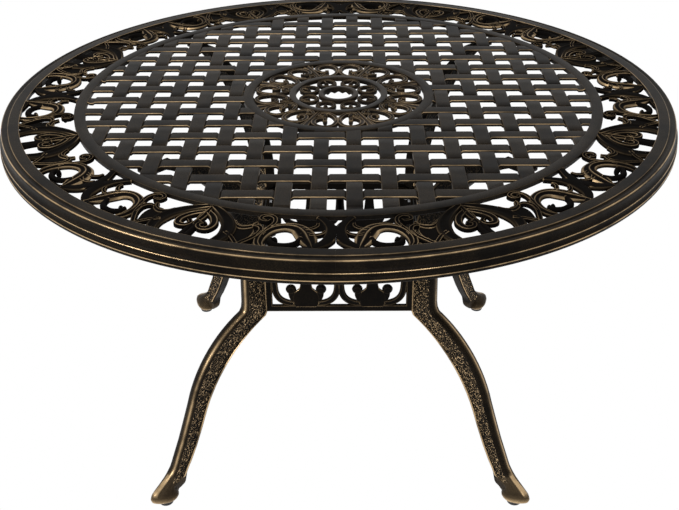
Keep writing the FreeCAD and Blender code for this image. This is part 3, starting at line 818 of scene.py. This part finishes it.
# %% [markdown]
# ## The woven lattice
#
# The slats only look woven: the founder cast them in one panel. Each slat is flat where
# it passes over and dips just before it goes under its neighbour. Two crossed sets of
# plain strips would show one set on top everywhere, so a slat is a grid of points whose
# height follows that wave. Its ends run on under the flat band outside and the
# medallion's ring inside.

# %% Height of the weave
PITCH = 54.3 * MM
SLAT = 25.5 * MM
DIP, DIP_LENGTH = 2.4 * MM, 4.0 * MM
END_DROP = 0.5 * MM
TUCK = 8 * MM  # how far a slat runs on under a band
HIDDEN_OUT, HIDDEN_IN = BAND_INNER + TUCK, RING_OUTER - TUCK


def smoothstep(x):
    """Eases from 0 to 1 while x goes from 0 to 1."""
    x = min(max(x, 0.0), 1.0)
    return x * x * (3 - 2 * x)


def weave_drop(along, across, line):
    """How far a slat lies below the top face at a place along it."""
    radius = math.hypot(along, across)
    room = min(BAND_INNER - radius, radius - RING_OUTER)
    end = END_DROP * (1 - smoothstep(room / DIP_LENGTH))
    cross = math.floor(along / PITCH)
    if (cross + line) % 2 == 1:
        return end
    reach = abs(along - (cross + 0.5) * PITCH) - SLAT / 2
    dip = DIP * (1 - smoothstep(reach / DIP_LENGTH))
    return max(dip * smoothstep(room / DIP_LENGTH), end)


print("deepest dip, mm:", round(DIP / MM, 2))

# %% One slat
EDGE_STEP = [  # share of the half width, drop, rub
    (-1.0, -4.4, 0.0), (-1.0, -1.7, 0.0), (-0.995, -1.1, 0.75), (-0.965, -0.4, 1.0),
    (-0.92, -0.08, 0.9), (-0.87, 0.0, 0.0), (0.87, 0.0, 0.0), (0.92, -0.08, 0.9),
    (0.965, -0.4, 1.0), (0.995, -1.1, 0.75), (1.0, -1.7, 0.0), (1.0, -4.4, 0.0)]
BEND_SHARES = (0, 0.33, 0.66, 1)
END_STEPS = (0.5, 3, 6, 10)  # millimetres beyond the tuck, near both ends of a slat
SLAT_FLOOR = 0.3 * MM
# Painted highlight: slats that cross the view keep all their edge gold; those that run away
# from the camera keep only this share.
AWAY_SLAT_HIGHLIGHT_SHARE = 0.55  # the slats that run away from the camera carry less gold


def slat_stations(limit):
    """Places along a slat: close together where it bends."""
    bends = [SLAT / 2 + share * DIP_LENGTH for share in BEND_SHARES]
    count = int(limit / PITCH) + 2
    return [(cross + 0.5) * PITCH + way * bend
            for cross in range(-count, count) for way in (-1, 1) for bend in bends]


def clip(radius, across):
    """Half chord of a circle at a distance from its middle."""
    return math.sqrt(max(radius ** 2 - across ** 2, 0))


def slat_rows(line, along_y, side):
    """Lengthwise rows of points; side is 0 for a whole slat, -1 or 1 beside the ring."""
    middle = (line + 0.5) * PITCH
    rows = []
    for share, drop, _ in EDGE_STEP:
        across = middle + share * SLAT / 2
        outer, inner = clip(HIDDEN_OUT, across), clip(HIDDEN_IN, across)
        start = inner if side > 0 else -outer
        last = -inner if side < 0 else outer
        row = []
        ends = [last - TUCK - back * MM for back in END_STEPS]
        ends += [start + TUCK + back * MM for back in END_STEPS]
        for place in sorted(slat_stations(BAND_OUTER) + ends):
            along = min(max(place, start), last)
            z = TOP - weave_drop(along, across, line + along_y) + drop * MM
            z = max(z, PANEL_BASE + SLAT_FLOOR)
            row.append((across, along, z) if along_y else (along, across, z))
        rows.append(row)
    return rows


def add_slat(bm, line, along_y, side):
    """Closed shell of one slat, with gold along its upper edges."""
    grid = [[bm.verts.new(spot) for spot in row] for row in slat_rows(line, along_y, side)]
    # Painted highlight on the edges of slats that cross the view; less gold on those that run
    # away.
    wipe = AWAY_SLAT_HIGHLIGHT_SHARE if along_y else 1.0
    for row, (_, _, rub) in zip(grid, EDGE_STEP):
        for vert in row:
            draw_rub(bm, vert, rub * wipe)
    skin(bm, list(zip(*grid)), caps=True)


print("places along a slat:", len(slat_stations(BAND_OUTER)))

# %% The whole weave


def lattice():
    """All slats both ways; those that meet the medallion's ring are in two parts."""
    bm = fresh_mesh()
    count = int(BAND_INNER / PITCH + 0.5)
    for line in range(-count, count):
        off = abs((line + 0.5) * PITCH)
        if off + SLAT / 2 > BAND_INNER:
            continue
        sides = (-1, 1) if off - SLAT / 2 < HIDDEN_IN - TUCK else (0,)
        for along_y in (False, True):
            for side in sides:
                add_slat(bm, line, along_y, side)
    return make_piece(bm, "woven_slats", SLAT_MERGE)


lattice_piece = lattice()
dress(lattice_piece, WEAVE_BRONZE, stands_for=["lattice_panel"])
print("woven slats, faces:", len(lattice_piece.data.polygons))

# %% [markdown]
# Two flat rings with softened lips frame the weave: the band outside it and the ring
# round the medallion. Like the rim, they are turned work, one profile taken round.

# %% Band and ring
RING_STEPS = 200
PLAIN_BELOW = -1.5  # below this the sides of a ring carry no gold


def ring_profile(inner, outer, shoulders=(-7.4, -1.6, -0.9)):
    """Corners of a flat ring with soft edges, as (radius, drop) in millimetres."""
    return ([(inner, z) for z in shoulders]
            + [(inner + 0.4, -0.3), (inner + 1.2, 0), (outer - 1.2, 0), (outer - 0.4, -0.3)]
            + [(outer, z) for z in reversed(shoulders)]
            + [(outer - 0.6, -8), (inner + 0.6, -8)])


def full_ring(name, profile, steps):
    """Closed profile of (radius, drop) taken all the way round."""
    bm = fresh_mesh()
    rings = []
    for number in range(steps):
        bearing = 360 * number / steps
        rings.append([bm.verts.new(polar(r * MM, bearing, TOP + z * MM)) for r, z in profile])
        for vert, (_, drop) in zip(rings[-1], profile):
            if drop < PLAIN_BELOW:
                draw_rub(bm, vert, 0)
    skin(bm, rings, closed=True)
    return make_piece(bm, name, RING_MERGE)


for ring_name, ring_inner, ring_outer in (("lattice_band", 460, 480),
                                          ("medallion_ring", 158, 176)):
    ring = full_ring(ring_name, ring_profile(ring_inner, ring_outer), RING_STEPS)
    dress(ring, TOP_BRONZE)
    print(ring.name, "faces:", len(ring.data.polygons))

# %% [markdown]
# ## The medallion
#
# The pierced disc round the umbrella hole repeats one pattern eight times: back-to-back
# joints at every eighth turn, a large and a small curl on either side, and a ring of round
# loops inside. It is swept bar by bar like the border, for the same reason. One turned
# ring ties it up in the middle, and a collar with a toothed foot lines the hole.

# %% Lines of the medallion
MEDALLION_THICK = TOP - PANEL_BASE - CREST_ROOM
LARGE_CURL = [(0.7, 116, 8), (1.3, 131, 9), (3.8, 146, 8.5), (8.4, 152.5, 8),
              (13.2, 151, 9), (17.0, 144, 10), (18.8, 132, 10), (17.6, 121, 9),
              (14.2, 116, 8), (11.2, 119, 7), (10.6, 126, 7)]
SMALL_CURL = [(0.8, 124, 8), (2.4, 110, 8), (6.0, 99, 8), (11.0, 94, 8), (16.0, 95, 7),
              (18.9, 101, 7), (17.6, 108, 6.5), (14.2, 108, 6)]
TIE_LEAF = [(22.5, 90, 6), (22.5, 104, 9), (22.5, 124, 9), (22.5, 142, 13), (22.5, 159, 22)]
CURL_EYE = [(9.6, 95, 5), (12.0, 99.5, 6)]
OUTER_STEM = [(0.8, 121, 8), (0.5, 112, 6)]
MEDALLION_BARS = [(LARGE_CURL, FLUTED, 0.96), (SMALL_CURL, FLUTED, 0.94),
                  (CURL_EYE, ROUND, 0.85), (OUTER_STEM, FLAT, 0.9)]
MEDALLION_BALLS = [(10.8, 121, 4.2), (13.0, 102.5, 4.6)]
LOOP_STEM = [(0, 73, 5), (0, 66, 4.5), (0, 60, 4)]
LOOP_BALL = (60, 4.6)
LOOP_CENTRE, LOOP_RADIUS, LOOP_WIDTH, LOOP_POINTS = 58.0, 15.8, 6.4, 10
TIE_TALL, LOOP_TALL, STEM_TALL = 0.9, 0.96, 0.85
CURL_STEPS, LOOP_STEPS = 4, 3
print("lines in a sixteenth of the medallion:", len(MEDALLION_BARS))

# %% Eight times round


def shifted(run, bearing):
    """The run moved on by a bearing."""
    return [(b + bearing, r, w) for b, r, w in run]


def round_loop(bearing):
    """Closed loop inside the middle ring."""
    loop = []
    centre = polar(LOOP_CENTRE, bearing)
    for step in range(LOOP_POINTS):
        spot = centre + polar(LOOP_RADIUS, 360 / LOOP_POINTS * step + bearing)
        loop.append((spot.x * MM, spot.y * MM, LOOP_WIDTH * MM))
    return loop


def add_eighth(bm, start):
    """One eighth of the pattern, from the joint at a bearing to the next."""
    axis = start + HALF_UNIT
    for line, section, tall in MEDALLION_BARS:
        for run in both_ways(shifted(line, start), axis):
            sweep_bar(bm, polar_run(run), section, PANEL_BASE, MEDALLION_THICK * tall,
                      steps=CURL_STEPS)
    for bearing, radius, size in MEDALLION_BALLS:
        for b in (start + bearing, start + 2 * HALF_UNIT - bearing):
            ball(bm, polar(radius * MM, b), size * MM, PANEL_BASE, MEDALLION_THICK)
    sweep_bar(bm, polar_run(shifted(TIE_LEAF, start)), LEAF, PANEL_BASE,
              MEDALLION_THICK * TIE_TALL)
    sweep_bar(bm, round_loop(axis), FLUTED, PANEL_BASE, MEDALLION_THICK * LOOP_TALL,
              closed=True, steps=LOOP_STEPS)
    sweep_bar(bm, polar_run(shifted(LOOP_STEM, axis)), ROUND, PANEL_BASE,
              MEDALLION_THICK * STEM_TALL)
    radius, size = LOOP_BALL
    ball(bm, polar(radius * MM, axis), size * MM, PANEL_BASE, MEDALLION_THICK)


def medallion():
    """The scrolls of the whole disc."""
    bm = fresh_mesh()
    for number in range(8):
        add_eighth(bm, 2 * HALF_UNIT * number)
    return make_piece(bm, "medallion_scrolls")


medallion_piece = medallion()
dress(medallion_piece, MEDALLION_BRONZE, stands_for=["medallion"])
print("medallion, faces:", len(medallion_piece.data.polygons))

# %% Middle ring and collar
FINE_RING_STEPS = 144
HUB_PROFILE = [(27.5, -8.6), (27.5, -1.2), (27.9, -0.4), (28.6, 0.0), (36.0, 0.0),
               (36.6, -0.4), (37, -1.0), (37, -7.4), (36.4, -8), (31.5, -8.2),
               (30.5, -8.6)]
TEETH, TOOTH, TOOTH_FROM = 12, 3.0, 8.4

middle_profile = ring_profile(79, 91, shoulders=(-7.4, -0.9))
middle_ring = full_ring("medallion_middle_ring", middle_profile, FINE_RING_STEPS)
dress(middle_ring, MEDALLION_BRONZE)
collar = full_ring("umbrella_hole_collar", HUB_PROFILE, FINE_RING_STEPS)
for vert in collar.data.vertices:
    turn = math.atan2(vert.co.y, vert.co.x)
    if vert.co.z < TOP - TOOTH_FROM * MM:
        vert.co.z -= TOOTH * MM * math.sin(turn * TEETH / 2) ** 2
dress(collar, MEDALLION_BRONZE)
print("rings of the medallion:", middle_ring.name, collar.name)

# %% [markdown]
# ## The legs
#
# Each leg is a curved plank that stands in the table's corner-to-corner plane. It could be
# cut from a thick outline, but then its keel and panel would have to be carved in. So its
# two edges are drawn as lines in that plane, and a cross-section is stretched between
# them: outside a keel that catches the gold, and on both sides a sunk, pebbled panel
# inside a raised welt. The panel ends in a point above the foot, where the same section
# is blended into an oval to make the hoof.

# %% Lines of a leg
LEG_HALF = 11.8
ARC_POINTS = 14
HOOF = [  # outer edge, inner edge, half width, how round
    ((450.0, 70), (425.2, 50.5), 11.8, 0.0),
    ((455.5, 63.5), (426.8, 43.0), 11.9, 0.04),
    ((462.0, 57), (428.0, 36.4), 12.6, 0.1),
    ((470.0, 50.5), (429.2, 30.6), 13.8, 0.18),
    ((479.0, 45), (431.2, 25.8), 15.4, 0.33),
    ((488.0, 40), (434.4, 22.0), 16.8, 0.54),
    ((496.5, 34.5), (437.2, 18.8), 18.4, 0.76),
    ((502.8, 28.6), (442.2, 16.0), 19.8, 0.92),
    ((505.0, 22.6), (446.6, 13.6), 20.2, 1.0),
    ((503.6, 17.6), (449.4, 11.4), 19.8, 1.0),
    ((499.4, 14.2), (452.0, 9.4), 18.2, 1.0),
    ((493.5, 12.6), (456.5, 8.4), 15.0, 1.0),
]


def arc_line(start, end, radius, side, count=ARC_POINTS):
    """Points on an arc between two points; side is 1 or -1 for the way it bows."""
    a, b = Vector(start), Vector(end)
    half = (b - a).length / 2
    along = (b - a).normalized()
    normal = Vector((along.y, -along.x)) * side
    centre = (a + b) / 2 - normal * math.sqrt(radius ** 2 - half ** 2)
    first = math.atan2(a.y - centre.y, a.x - centre.x)
    last = math.atan2(b.y - centre.y, b.x - centre.x)
    turn = (last - first + math.pi) % (2 * math.pi) - math.pi
    spots = []
    for step in range(count):
        angle = first + turn * step / (count - 1)
        spots.append((centre.x + radius * math.cos(angle), centre.y + radius * math.sin(angle)))
    return spots


def leg_stations():
    """(outer edge, inner edge, half width, roundness) from the top down to the sole.

    An edge point is (out from the middle, up), in millimetres as the widths are.
    """
    outer = arc_line((413, 690), (251, 438), 272, 1)
    inner = arc_line((375, 690), (204, 468), 230, 1)
    outer += [(252, 406), (253, 374), (253.4, 352), (255.2, 341)]
    inner += [(204, 420), (204, 370), (204, 334), (204.2, 319)]
    outer += arc_line((260, 334), (395.5, 194), 222, -1)
    inner += arc_line((209.5, 310), (365, 169), 268, -1)
    outer += [(410, 158), (425.5, 121), (439, 93), (445, 80)]
    inner += [(379.5, 135.5), (396, 100.5), (411.5, 72.5), (420, 60)]
    return [(o, i, LEG_HALF, 0.0) for o, i in zip(outer, inner)] + HOOF


print("cross-sections of a leg:", len(leg_stations()))

# %% Cross-section of a leg
PANEL_SINK = 1.2
# Gold on the keel leans to its right side as a painted highlight; its left side gets the
# smaller rubs of the next list, as painted shade.
KEEL = [(0.0, 0.0, 0.5), (0.15, 2.2, 0.76), (0.5, 4.2, 0.92), (1.1, 6.2, 0.76),
        (2.0, 8.6, 0.4), (3.0, 10.6, 0.2), (3.8, 11.8, 0.5)]
KEEL_LEFT_SHADED_RUB = [0.5, 0.4, 0.2, 0.05, 0.01, 0.01, 0.3]
LEAST_PANEL = 6.5
BACK_ROOM, WELT_ROOM = 4.2, 5.4  # from the panel's end to the inner edge
PANEL_STRIPS = (8, 9)  # the strips of the section that lie in the panel
POINT_FROM, POINT_OVER = 66, 26  # height at which the panel narrows, and over how much
TOE_POINT = 0.28
ROUND_WIPE = 0.35  # share of the gold that the round hoof loses


def leg_section(thick, sink, panel):
    """(in from the outer edge, sideways, rub) once round the plank, in millimetres.

    The panel runs from behind the keel to the given distance.
    """
    half, low, none = LEG_HALF, LEG_HALF - sink, 0.0
    panel = max(panel, LEAST_PANEL)
    end = max(thick, panel + BACK_ROOM)
    right = KEEL + [(4.5, half - 0.1, 0.2), (5.1, low, none), ((5 + panel) / 2, low, none),
                    (panel - 0.7, low, none), (panel, half - 0.1, 0.98),
                    (panel + 1.0, half + 0.6, 1.0), (panel + 2.4, half + 0.3, 1.0),
                    (panel + 2.9, half - 0.3, none), (end - 0.4, half - 1.4, none)]
    left = [(d, -v, rub) for d, v, rub in right[:0:-1]]
    # Painted shade: the left side of the keel takes its smaller rubs.
    for back, rub in enumerate(KEEL_LEFT_SHADED_RUB[:0:-1]):
        place = len(left) - len(KEEL_LEFT_SHADED_RUB) + 1 + back
        left[place] = left[place][:2] + (rub,)
    return right + left


def panel_reach(station, thick):
    """How far the panel reaches: up to the inner welt, then back to a point at the foot."""
    full = thick - WELT_ROOM
    ending = (POINT_FROM - station[0][1]) / POINT_OVER
    return full - (full - KEEL[-1][0]) * min(max(ending, 0.0), 1.0)


def leg_ring(bm, station, sink):
    """One cross-section of the leg, blended into an oval as far as it is round."""
    a, b = Vector(station[0]), Vector(station[1])
    across, thick = (b - a).normalized(), (b - a).length
    section = leg_section(thick, sink, panel_reach(station, thick))
    half, share = station[2], station[3]
    count = (len(section) + 1) // 2
    ring = []
    for k, (distance, side, rub) in enumerate(section):
        step = k if k < count else k - len(section)
        turn = math.pi * step / (count - 0.5)
        distance += (thick / 2 * (1 - math.cos(turn)) - distance) * share
        oval = half * math.sin(turn) * (1 - TOE_POINT * math.cos(turn))
        side += (oval - side) * share
        spot = a + across * distance
        ring.append(bm.verts.new((spot.x * MM, side * MM, spot.y * MM)))
        draw_rub(bm, ring[-1], rub * (1 - ROUND_WIPE * share))
    return ring


print("points in a leg's section:", len(leg_section(40, PANEL_SINK, 34)))

# %% Body of a leg
SINK_ENDS, SINK_FADE = 48, 12
HOOF_RUB = [0.5] * 5 + [0.6, 0.85, 1.0, 1.0, 0.0]  # of the last rings, down to the sole
RIDGE_RINGS, RIDGE_RUB = 5, 0.9
ROUND_FROM = 0.3  # a strip that is rounder than this isn't pebbled


def leg_body(bm):
    """Plank and hoof in one; gives back the faces of the sunk panels."""
    stations = leg_stations()
    rings = []
    for number, station in enumerate(stations):
        fade = min(1.0, max((station[0][1] - SINK_ENDS) / SINK_FADE, 0), number / 2)
        rings.append(leg_ring(bm, station, PANEL_SINK * fade))
    size = len(rings[0])
    for back, (ring, rub) in enumerate(zip(rings[-len(HOOF_RUB):], HOOF_RUB)):
        for k, vert in enumerate(ring):
            ridge = back < RIDGE_RINGS and (k < 3 or k >= size - 2)
            draw_rub(bm, vert, RIDGE_RUB if ridge else rub)
    panel = []
    for number, face in enumerate(skin(bm, rings, caps=True)):
        station, k = divmod(number, size)
        sunk = k in PANEL_STRIPS or size - 1 - k in PANEL_STRIPS
        if sunk and stations[station + 1][3] < ROUND_FROM:
            panel.append(face)
    return panel


print("rings of the hoof:", len(HOOF))

# %% Seat and plate
FOOT_CENTRE = 472.0
SEAT_LOW, SEAT_HIGH, SEAT_DEPTH, SEAT_MIDDLE = 9.5, 12.5, 7, 11.6
PLATE_MIDDLE, PLATE_SIZE = 412, (60, 28, 6)


def glide_seat(bm):
    """Small turned boss under the hoof, which the glide's pad seats on."""
    made = bmesh.ops.create_cone(
        bm, cap_ends=True, segments=40, radius1=SEAT_LOW * MM, radius2=SEAT_HIGH * MM,
        depth=SEAT_DEPTH * MM,
        matrix=Matrix.Translation((FOOT_CENTRE * MM, 0, SEAT_MIDDLE * MM)))
    ends = [e for e in edges_of(made["verts"])
            if abs(e.verts[0].co.z - e.verts[1].co.z) < 0.1 * MM]
    round_edges(bm, ends, 0.8, segments=3)


def mounting_plate(bm):
    """Plate on top of the arm that carries the lattice."""
    length, width, thick = PLATE_SIZE
    made = bmesh.ops.create_cube(bm, size=1)
    for vert in made["verts"]:
        vert.co = Vector(((PLATE_MIDDLE + length * vert.co.x) * MM, width * vert.co.y * MM,
                          PANEL_BASE + thick * (vert.co.z - 0.5) * MM))
    round_edges(bm, edges_of(made["verts"]), 1.2)


def leg():
    """Leg that points along +x, with its plate and its seat."""
    bm = fresh_mesh()
    for face in leg_body(bm):
        face.material_index = 1
    mounting_plate(bm)
    glide_seat(bm)
    return make_piece(bm, "leg_casting", materials=(LEG_BRONZE, PEBBLE_BRONZE))


turned_set(leg(), "leg_piece", LEG_BEARINGS, LEG_BRONZE, "leg")

# %% [markdown]
# ## The aprons
#
# Four panels tie the legs together. Each has a plain frame with a soft edge and two lyres:
# a tapered pillar with a ball and a small ring on either side, and a broad arc that sweeps
# up from it. The lyres are drawn flat, as (across, height, width), and stood up in the
# panel's plane, because a flat drawing is easy to hold against the photograph.

# %% Lines of an apron
SIDE_BEARINGS = {"front": 0, "right": 90, "rear": 180, "left": 270}
APRON_FACE, APRON_THICK, APRON_HALF, APRON_INSET = 152.0, 6.0, 139.0, 12.0
APRON_LOW, APRON_HIGH = 320.5, 437.5
RAIL_SHARE = 1.12  # the rails are this much wider than the upright ends
FRAME_STEPS = [  # in from the outer edge, height, rub
    (0.0, 0.0, 0.0), (0.0, APRON_THICK - 1.0, 0.5), (0.8, APRON_THICK, 0.8),
    (1.8, APRON_THICK - 0.2, 0.0), (2.6, APRON_THICK - 1.0, 0.0),
    (APRON_INSET - 3.4, APRON_THICK - 1.0, 0.0), (APRON_INSET - 2.6, APRON_THICK - 0.2, 0.2),
    (APRON_INSET - 1.4, APRON_THICK, 0.7), (APRON_INSET - 0.4, APRON_THICK - 0.8, 0.4),
    (APRON_INSET, APRON_THICK - 2.0, 0.0), (APRON_INSET, 0.0, 0.0)]
LYRE_PLACE = 62.8
LYRE_ARC = [(10, 337, 10), (22, 337.5, 11), (35, 339, 12), (46, 344, 12.5), (53.5, 352, 12.5),
            (57.8, 363, 12.5), (59.3, 376, 12.5), (60.5, 395, 12.5), (61.5, 428, 14)]
LYRE_NECK = [(14, 341, 16), (21, 347, 16), (25.5, 355, 15), (27.5, 364, 13)]
LYRE_PILLAR = [(0, 331, 46), (0, 343, 51), (0, 351, 53), (0, 358, 49), (0, 364, 40),
               (0, 369, 28), (0, 374, 23), (0, 392, 19), (0, 410, 17), (0, 430, 23)]
LYRE_BALL = (28.5, 367.6, 10.3)
LYRE_BASE, PILLAR_BASE, BALL_HIGH = 0.4, 0.2, 1.15
EYE_RADIUS, EYE_WIDTH, EYE_BASE, EYE_TALL, EYE_POINTS = 6.4, 3.4, 3.6, 3.0, 8
print("lyres at", -LYRE_PLACE, "and", LYRE_PLACE, "mm")

# %% Four aprons


def add_frame(bm):
    """Rectangular frame with raised, softened edges: four corners by several rings."""
    rings = []
    for into, height, rub in FRAME_STEPS:
        x, low = APRON_HALF - into, APRON_LOW + into * RAIL_SHARE
        high = APRON_HIGH - into * RAIL_SHARE
        rings.append([bm.verts.new((sx * x * MM, z * MM, height * MM))
                      for sx, z in ((-1, low), (1, low), (1, high), (-1, high))])
        for vert in rings[-1]:
            draw_rub(bm, vert, rub)
    skin(bm, rings, closed=True)


def add_half_lyre(bm, place, way):
    """Arc, neck, ball and ring on one side of a lyre's pillar."""
    for line, section, tall in ((LYRE_ARC, FLUTED, 0.95), (LYRE_NECK, FLAT, 0.9)):
        run = [((place + way * x) * MM, z * MM, w * MM) for x, z, w in line]
        sweep_bar(bm, run, section, LYRE_BASE * MM, (APRON_THICK - 0.6) * tall * MM)
    across, height, size = LYRE_BALL
    middle = place + way * across
    ball(bm, (middle * MM, height * MM), size * MM, PILLAR_BASE * MM,
         APRON_THICK * BALL_HIGH * MM)
    eye = []
    for k in range(EYE_POINTS):
        spot = polar(EYE_RADIUS, 360 * k / EYE_POINTS)
        eye.append(((middle + spot.x) * MM, (height + spot.y) * MM, EYE_WIDTH * MM))
    sweep_bar(bm, eye, ROUND, EYE_BASE * MM, EYE_TALL * MM, closed=True, steps=LOOP_STEPS)


def apron():
    """The front panel, drawn lying down and stood up in its plane."""
    bm = fresh_mesh()
    add_frame(bm)
    for place in (-LYRE_PLACE, LYRE_PLACE):
        for way in (-1, 1):
            add_half_lyre(bm, place, way)
        pillar = [((place + x) * MM, z * MM, w * MM) for x, z, w in LYRE_PILLAR]
        sweep_bar(bm, pillar, FLAT, PILLAR_BASE * MM, APRON_THICK * MM)
    bm.transform(Matrix.Translation((0, -APRON_FACE * MM, 0)) @ turning(90, "X"))
    return make_piece(bm, "apron_casting")


turned_set(apron(), "apron_panel", SIDE_BEARINGS, APRON_BRONZE, "apron")

# %% [markdown]
# ## Brackets and bolts
#
# A bent plate inside each corner holds two aprons to a leg. It could stay as the CAD has
# it, but the openings at an apron's ends are empty in the photograph, so it is built
# lower here, from its plan of eight points. Hexagon bolts with washers hold it to the
# post, smaller ones to the aprons, and one under each mounting plate goes up into the
# lattice.

# %% Corner brackets
POST_INNER = 204.0
BRACKET_FLAT, BRACKET_WING, BRACKET_THICK = 10.96, 20.0, 4.0
BRACKET_LOW, BRACKET_HIGH = 363.0, 430.0
WING_ENDS = ((3, 4), (7, 0))  # the points of the plan at the tip of each wing
BEND_ROOM = math.tan(math.radians(22.5))  # what the inner side of a bend loses
SHARP = 0.7  # radians


def bracket_plan():
    """Eight points round the bent plate, seen from above, for a leg that points at +x."""
    plan = []
    for into in (0.0, BRACKET_THICK):
        wing, tip = BRACKET_WING * math.sqrt(0.5), into * math.sqrt(0.5)
        half = [(POST_INNER - into, BRACKET_FLAT - into * BEND_ROOM),
                (POST_INNER - wing - tip, BRACKET_FLAT + wing - tip)]
        side = [(x, -y) for x, y in reversed(half)] + half
        plan += side if into == 0 else side[::-1]
    return plan


def corner_bracket(name, bearing):
    """Bent plate with its flat on the leg's post and its wings on two aprons."""
    bm = fresh_mesh()
    rings = [[bm.verts.new((x * MM, y * MM, height * MM)) for x, y in bracket_plan()]
             for height in (BRACKET_LOW, BRACKET_HIGH)]
    skin(bm, rings, caps=True)
    ends = [bm.edges.get((row[k], row[n])) for row in rings for k, n in WING_ENDS]
    round_edges(bm, ends, 7, segments=6)
    round_edges(bm, [e for e in bm.edges if e.calc_face_angle(0) > SHARP], 0.5)
    bm.transform(turning(bearing))
    piece = make_piece(bm, f"corner_bracket_plate_{name}")
    return dress(piece, PLAIN_BRONZE, stands_for=[f"corner_bracket_{name}"])


for corner, corner_bearing in LEG_BEARINGS.items():
    bracket = corner_bracket(corner, corner_bearing)
print("bracket, faces:", len(bracket.data.polygons))

# %% Bolts with washers
BOLT_ACROSS, BOLT_HEAD, SMALL_BOLT = 13.0, 5.3, 8.0
WASHER_RADIUS, WASHER_THICK, WASHER_SIDES = 8.0, 1.6, 28
POST_BOLTS, WING_BOLTS = (378, 414), (379, 413)  # heights
WING_BOLT_BACK = 24  # from the aprons' corner, along an apron
PLATE_BOLT = 422  # out from the middle of the table


def hex_bolt(bm, place, away, across=BOLT_ACROSS):
    """Washer and hexagon head on a surface at place, standing out along away."""
    turn = Vector((0, 0, 1)).rotation_difference(Vector(away)).to_matrix().to_4x4()
    spot = Matrix.Translation(Vector(place) * MM) @ turn
    scale = across / BOLT_ACROSS
    head = BOLT_HEAD * scale
    for sides, radius, depth, lift in (
            (WASHER_SIDES, WASHER_RADIUS * scale, WASHER_THICK, WASHER_THICK / 2),
            (6, across / math.sqrt(3), head, WASHER_THICK + head / 2)):
        made = bmesh.ops.create_cone(
            bm, cap_ends=True, segments=sides, radius1=radius * MM, radius2=radius * MM,
            depth=depth * MM, matrix=spot @ Matrix.Translation((0, 0, lift * MM)))
        round_edges(bm, edges_of(made["verts"]), 0.35)


def corner_bolts(name, bearing):
    """Bolts of one corner: two in the post, four in the aprons, one under the plate."""
    bm = fresh_mesh()
    for height in POST_BOLTS:
        hex_bolt(bm, polar(POST_INNER - BRACKET_THICK, bearing, height), -polar(1, bearing))
    aprons_corner = polar((APRON_FACE - BRACKET_THICK) * math.sqrt(2), bearing)
    for way in (-1, 1):
        wing = aprons_corner - polar(WING_BOLT_BACK, bearing + 45 * way)
        for height in WING_BOLTS:
            hex_bolt(bm, (wing.x, wing.y, height), -polar(1, bearing - 45 * way), SMALL_BOLT)
    under = polar(PLATE_BOLT, bearing, PANEL_BASE / MM - PLATE_SIZE[2])
    hex_bolt(bm, under, (0, 0, -1))
    piece = make_piece(bm, f"corner_bolts_{name}")
    return dress(piece, ZINC)


for corner, corner_bearing in LEG_BEARINGS.items():
    bolts = corner_bolts(corner, corner_bearing)
print("bolts of a corner, faces:", len(bolts.data.polygons))

# %% [markdown]
# ## The glides
#
# A moulded pad on a threaded screw levels each foot. Both are turned work, a profile of
# (radius, height) taken round an upright axis. The thread is a row of ridges and no
# helix, because only a few millimetres of it ever show between the foot and the pad.

# %% Pads and screws
PAD_PROFILE = [(0, 0), (11.6, 0), (13.2, 0.6), (14.0, 2.2), (13.7, 4.8), (12.4, 6.6),
               (8.0, 7.7), (0, 7.7)]
PAD_STEPS, SCREW_STEPS = 40, 20
SCREW_PITCH, SCREW_CORE, SCREW_CREST = 1.25, 3.3, 3.95
THREAD_LOW, THREAD_HIGH = 7.6, 31


def lathe(bm, profile, centre, steps):
    """Turns a profile of (radius, height) about an upright axis at a place."""
    rings = []
    for radius, height in profile:
        count = steps if radius else 1
        rings.append([bm.verts.new(centre + polar(radius * MM, 360 * k / steps, height * MM))
                      for k in range(count)])
    skin(bm, rings)


def screw_profile():
    """Ridges of a screw from the pad up into the foot."""
    profile = [(0, THREAD_LOW - 0.2), (SCREW_CORE, THREAD_LOW - 0.2)]
    height = THREAD_LOW
    while height < THREAD_HIGH:
        profile += [(SCREW_CORE, height), (SCREW_CREST, height + SCREW_PITCH / 2)]
        height += SCREW_PITCH
    return profile + [(3.0, THREAD_HIGH + 0.6), (0, THREAD_HIGH + 0.6)]


def glide(name, bearing):
    """Pad and screw under one foot, which ride on the glide's own body."""
    for label, profile, material, slot, steps in (
            ("pad", PAD_PROFILE, GLIDE_PLASTIC, "glide_plastic", PAD_STEPS),
            ("stem", screw_profile(), ZINC, "screw_steel", SCREW_STEPS)):
        bm = fresh_mesh()
        lathe(bm, profile, polar(FOOT_CENTRE * MM, bearing), steps)
        piece = make_piece(bm, f"glide_{label}_of_{name}")
        dress(piece, material, body=f"glide_{name}", stands_for=[f"glide_{label}_{name}"])


for corner, corner_bearing in LEG_BEARINGS.items():
    glide(corner, corner_bearing)
print("points in the screw's profile:", len(screw_profile()))
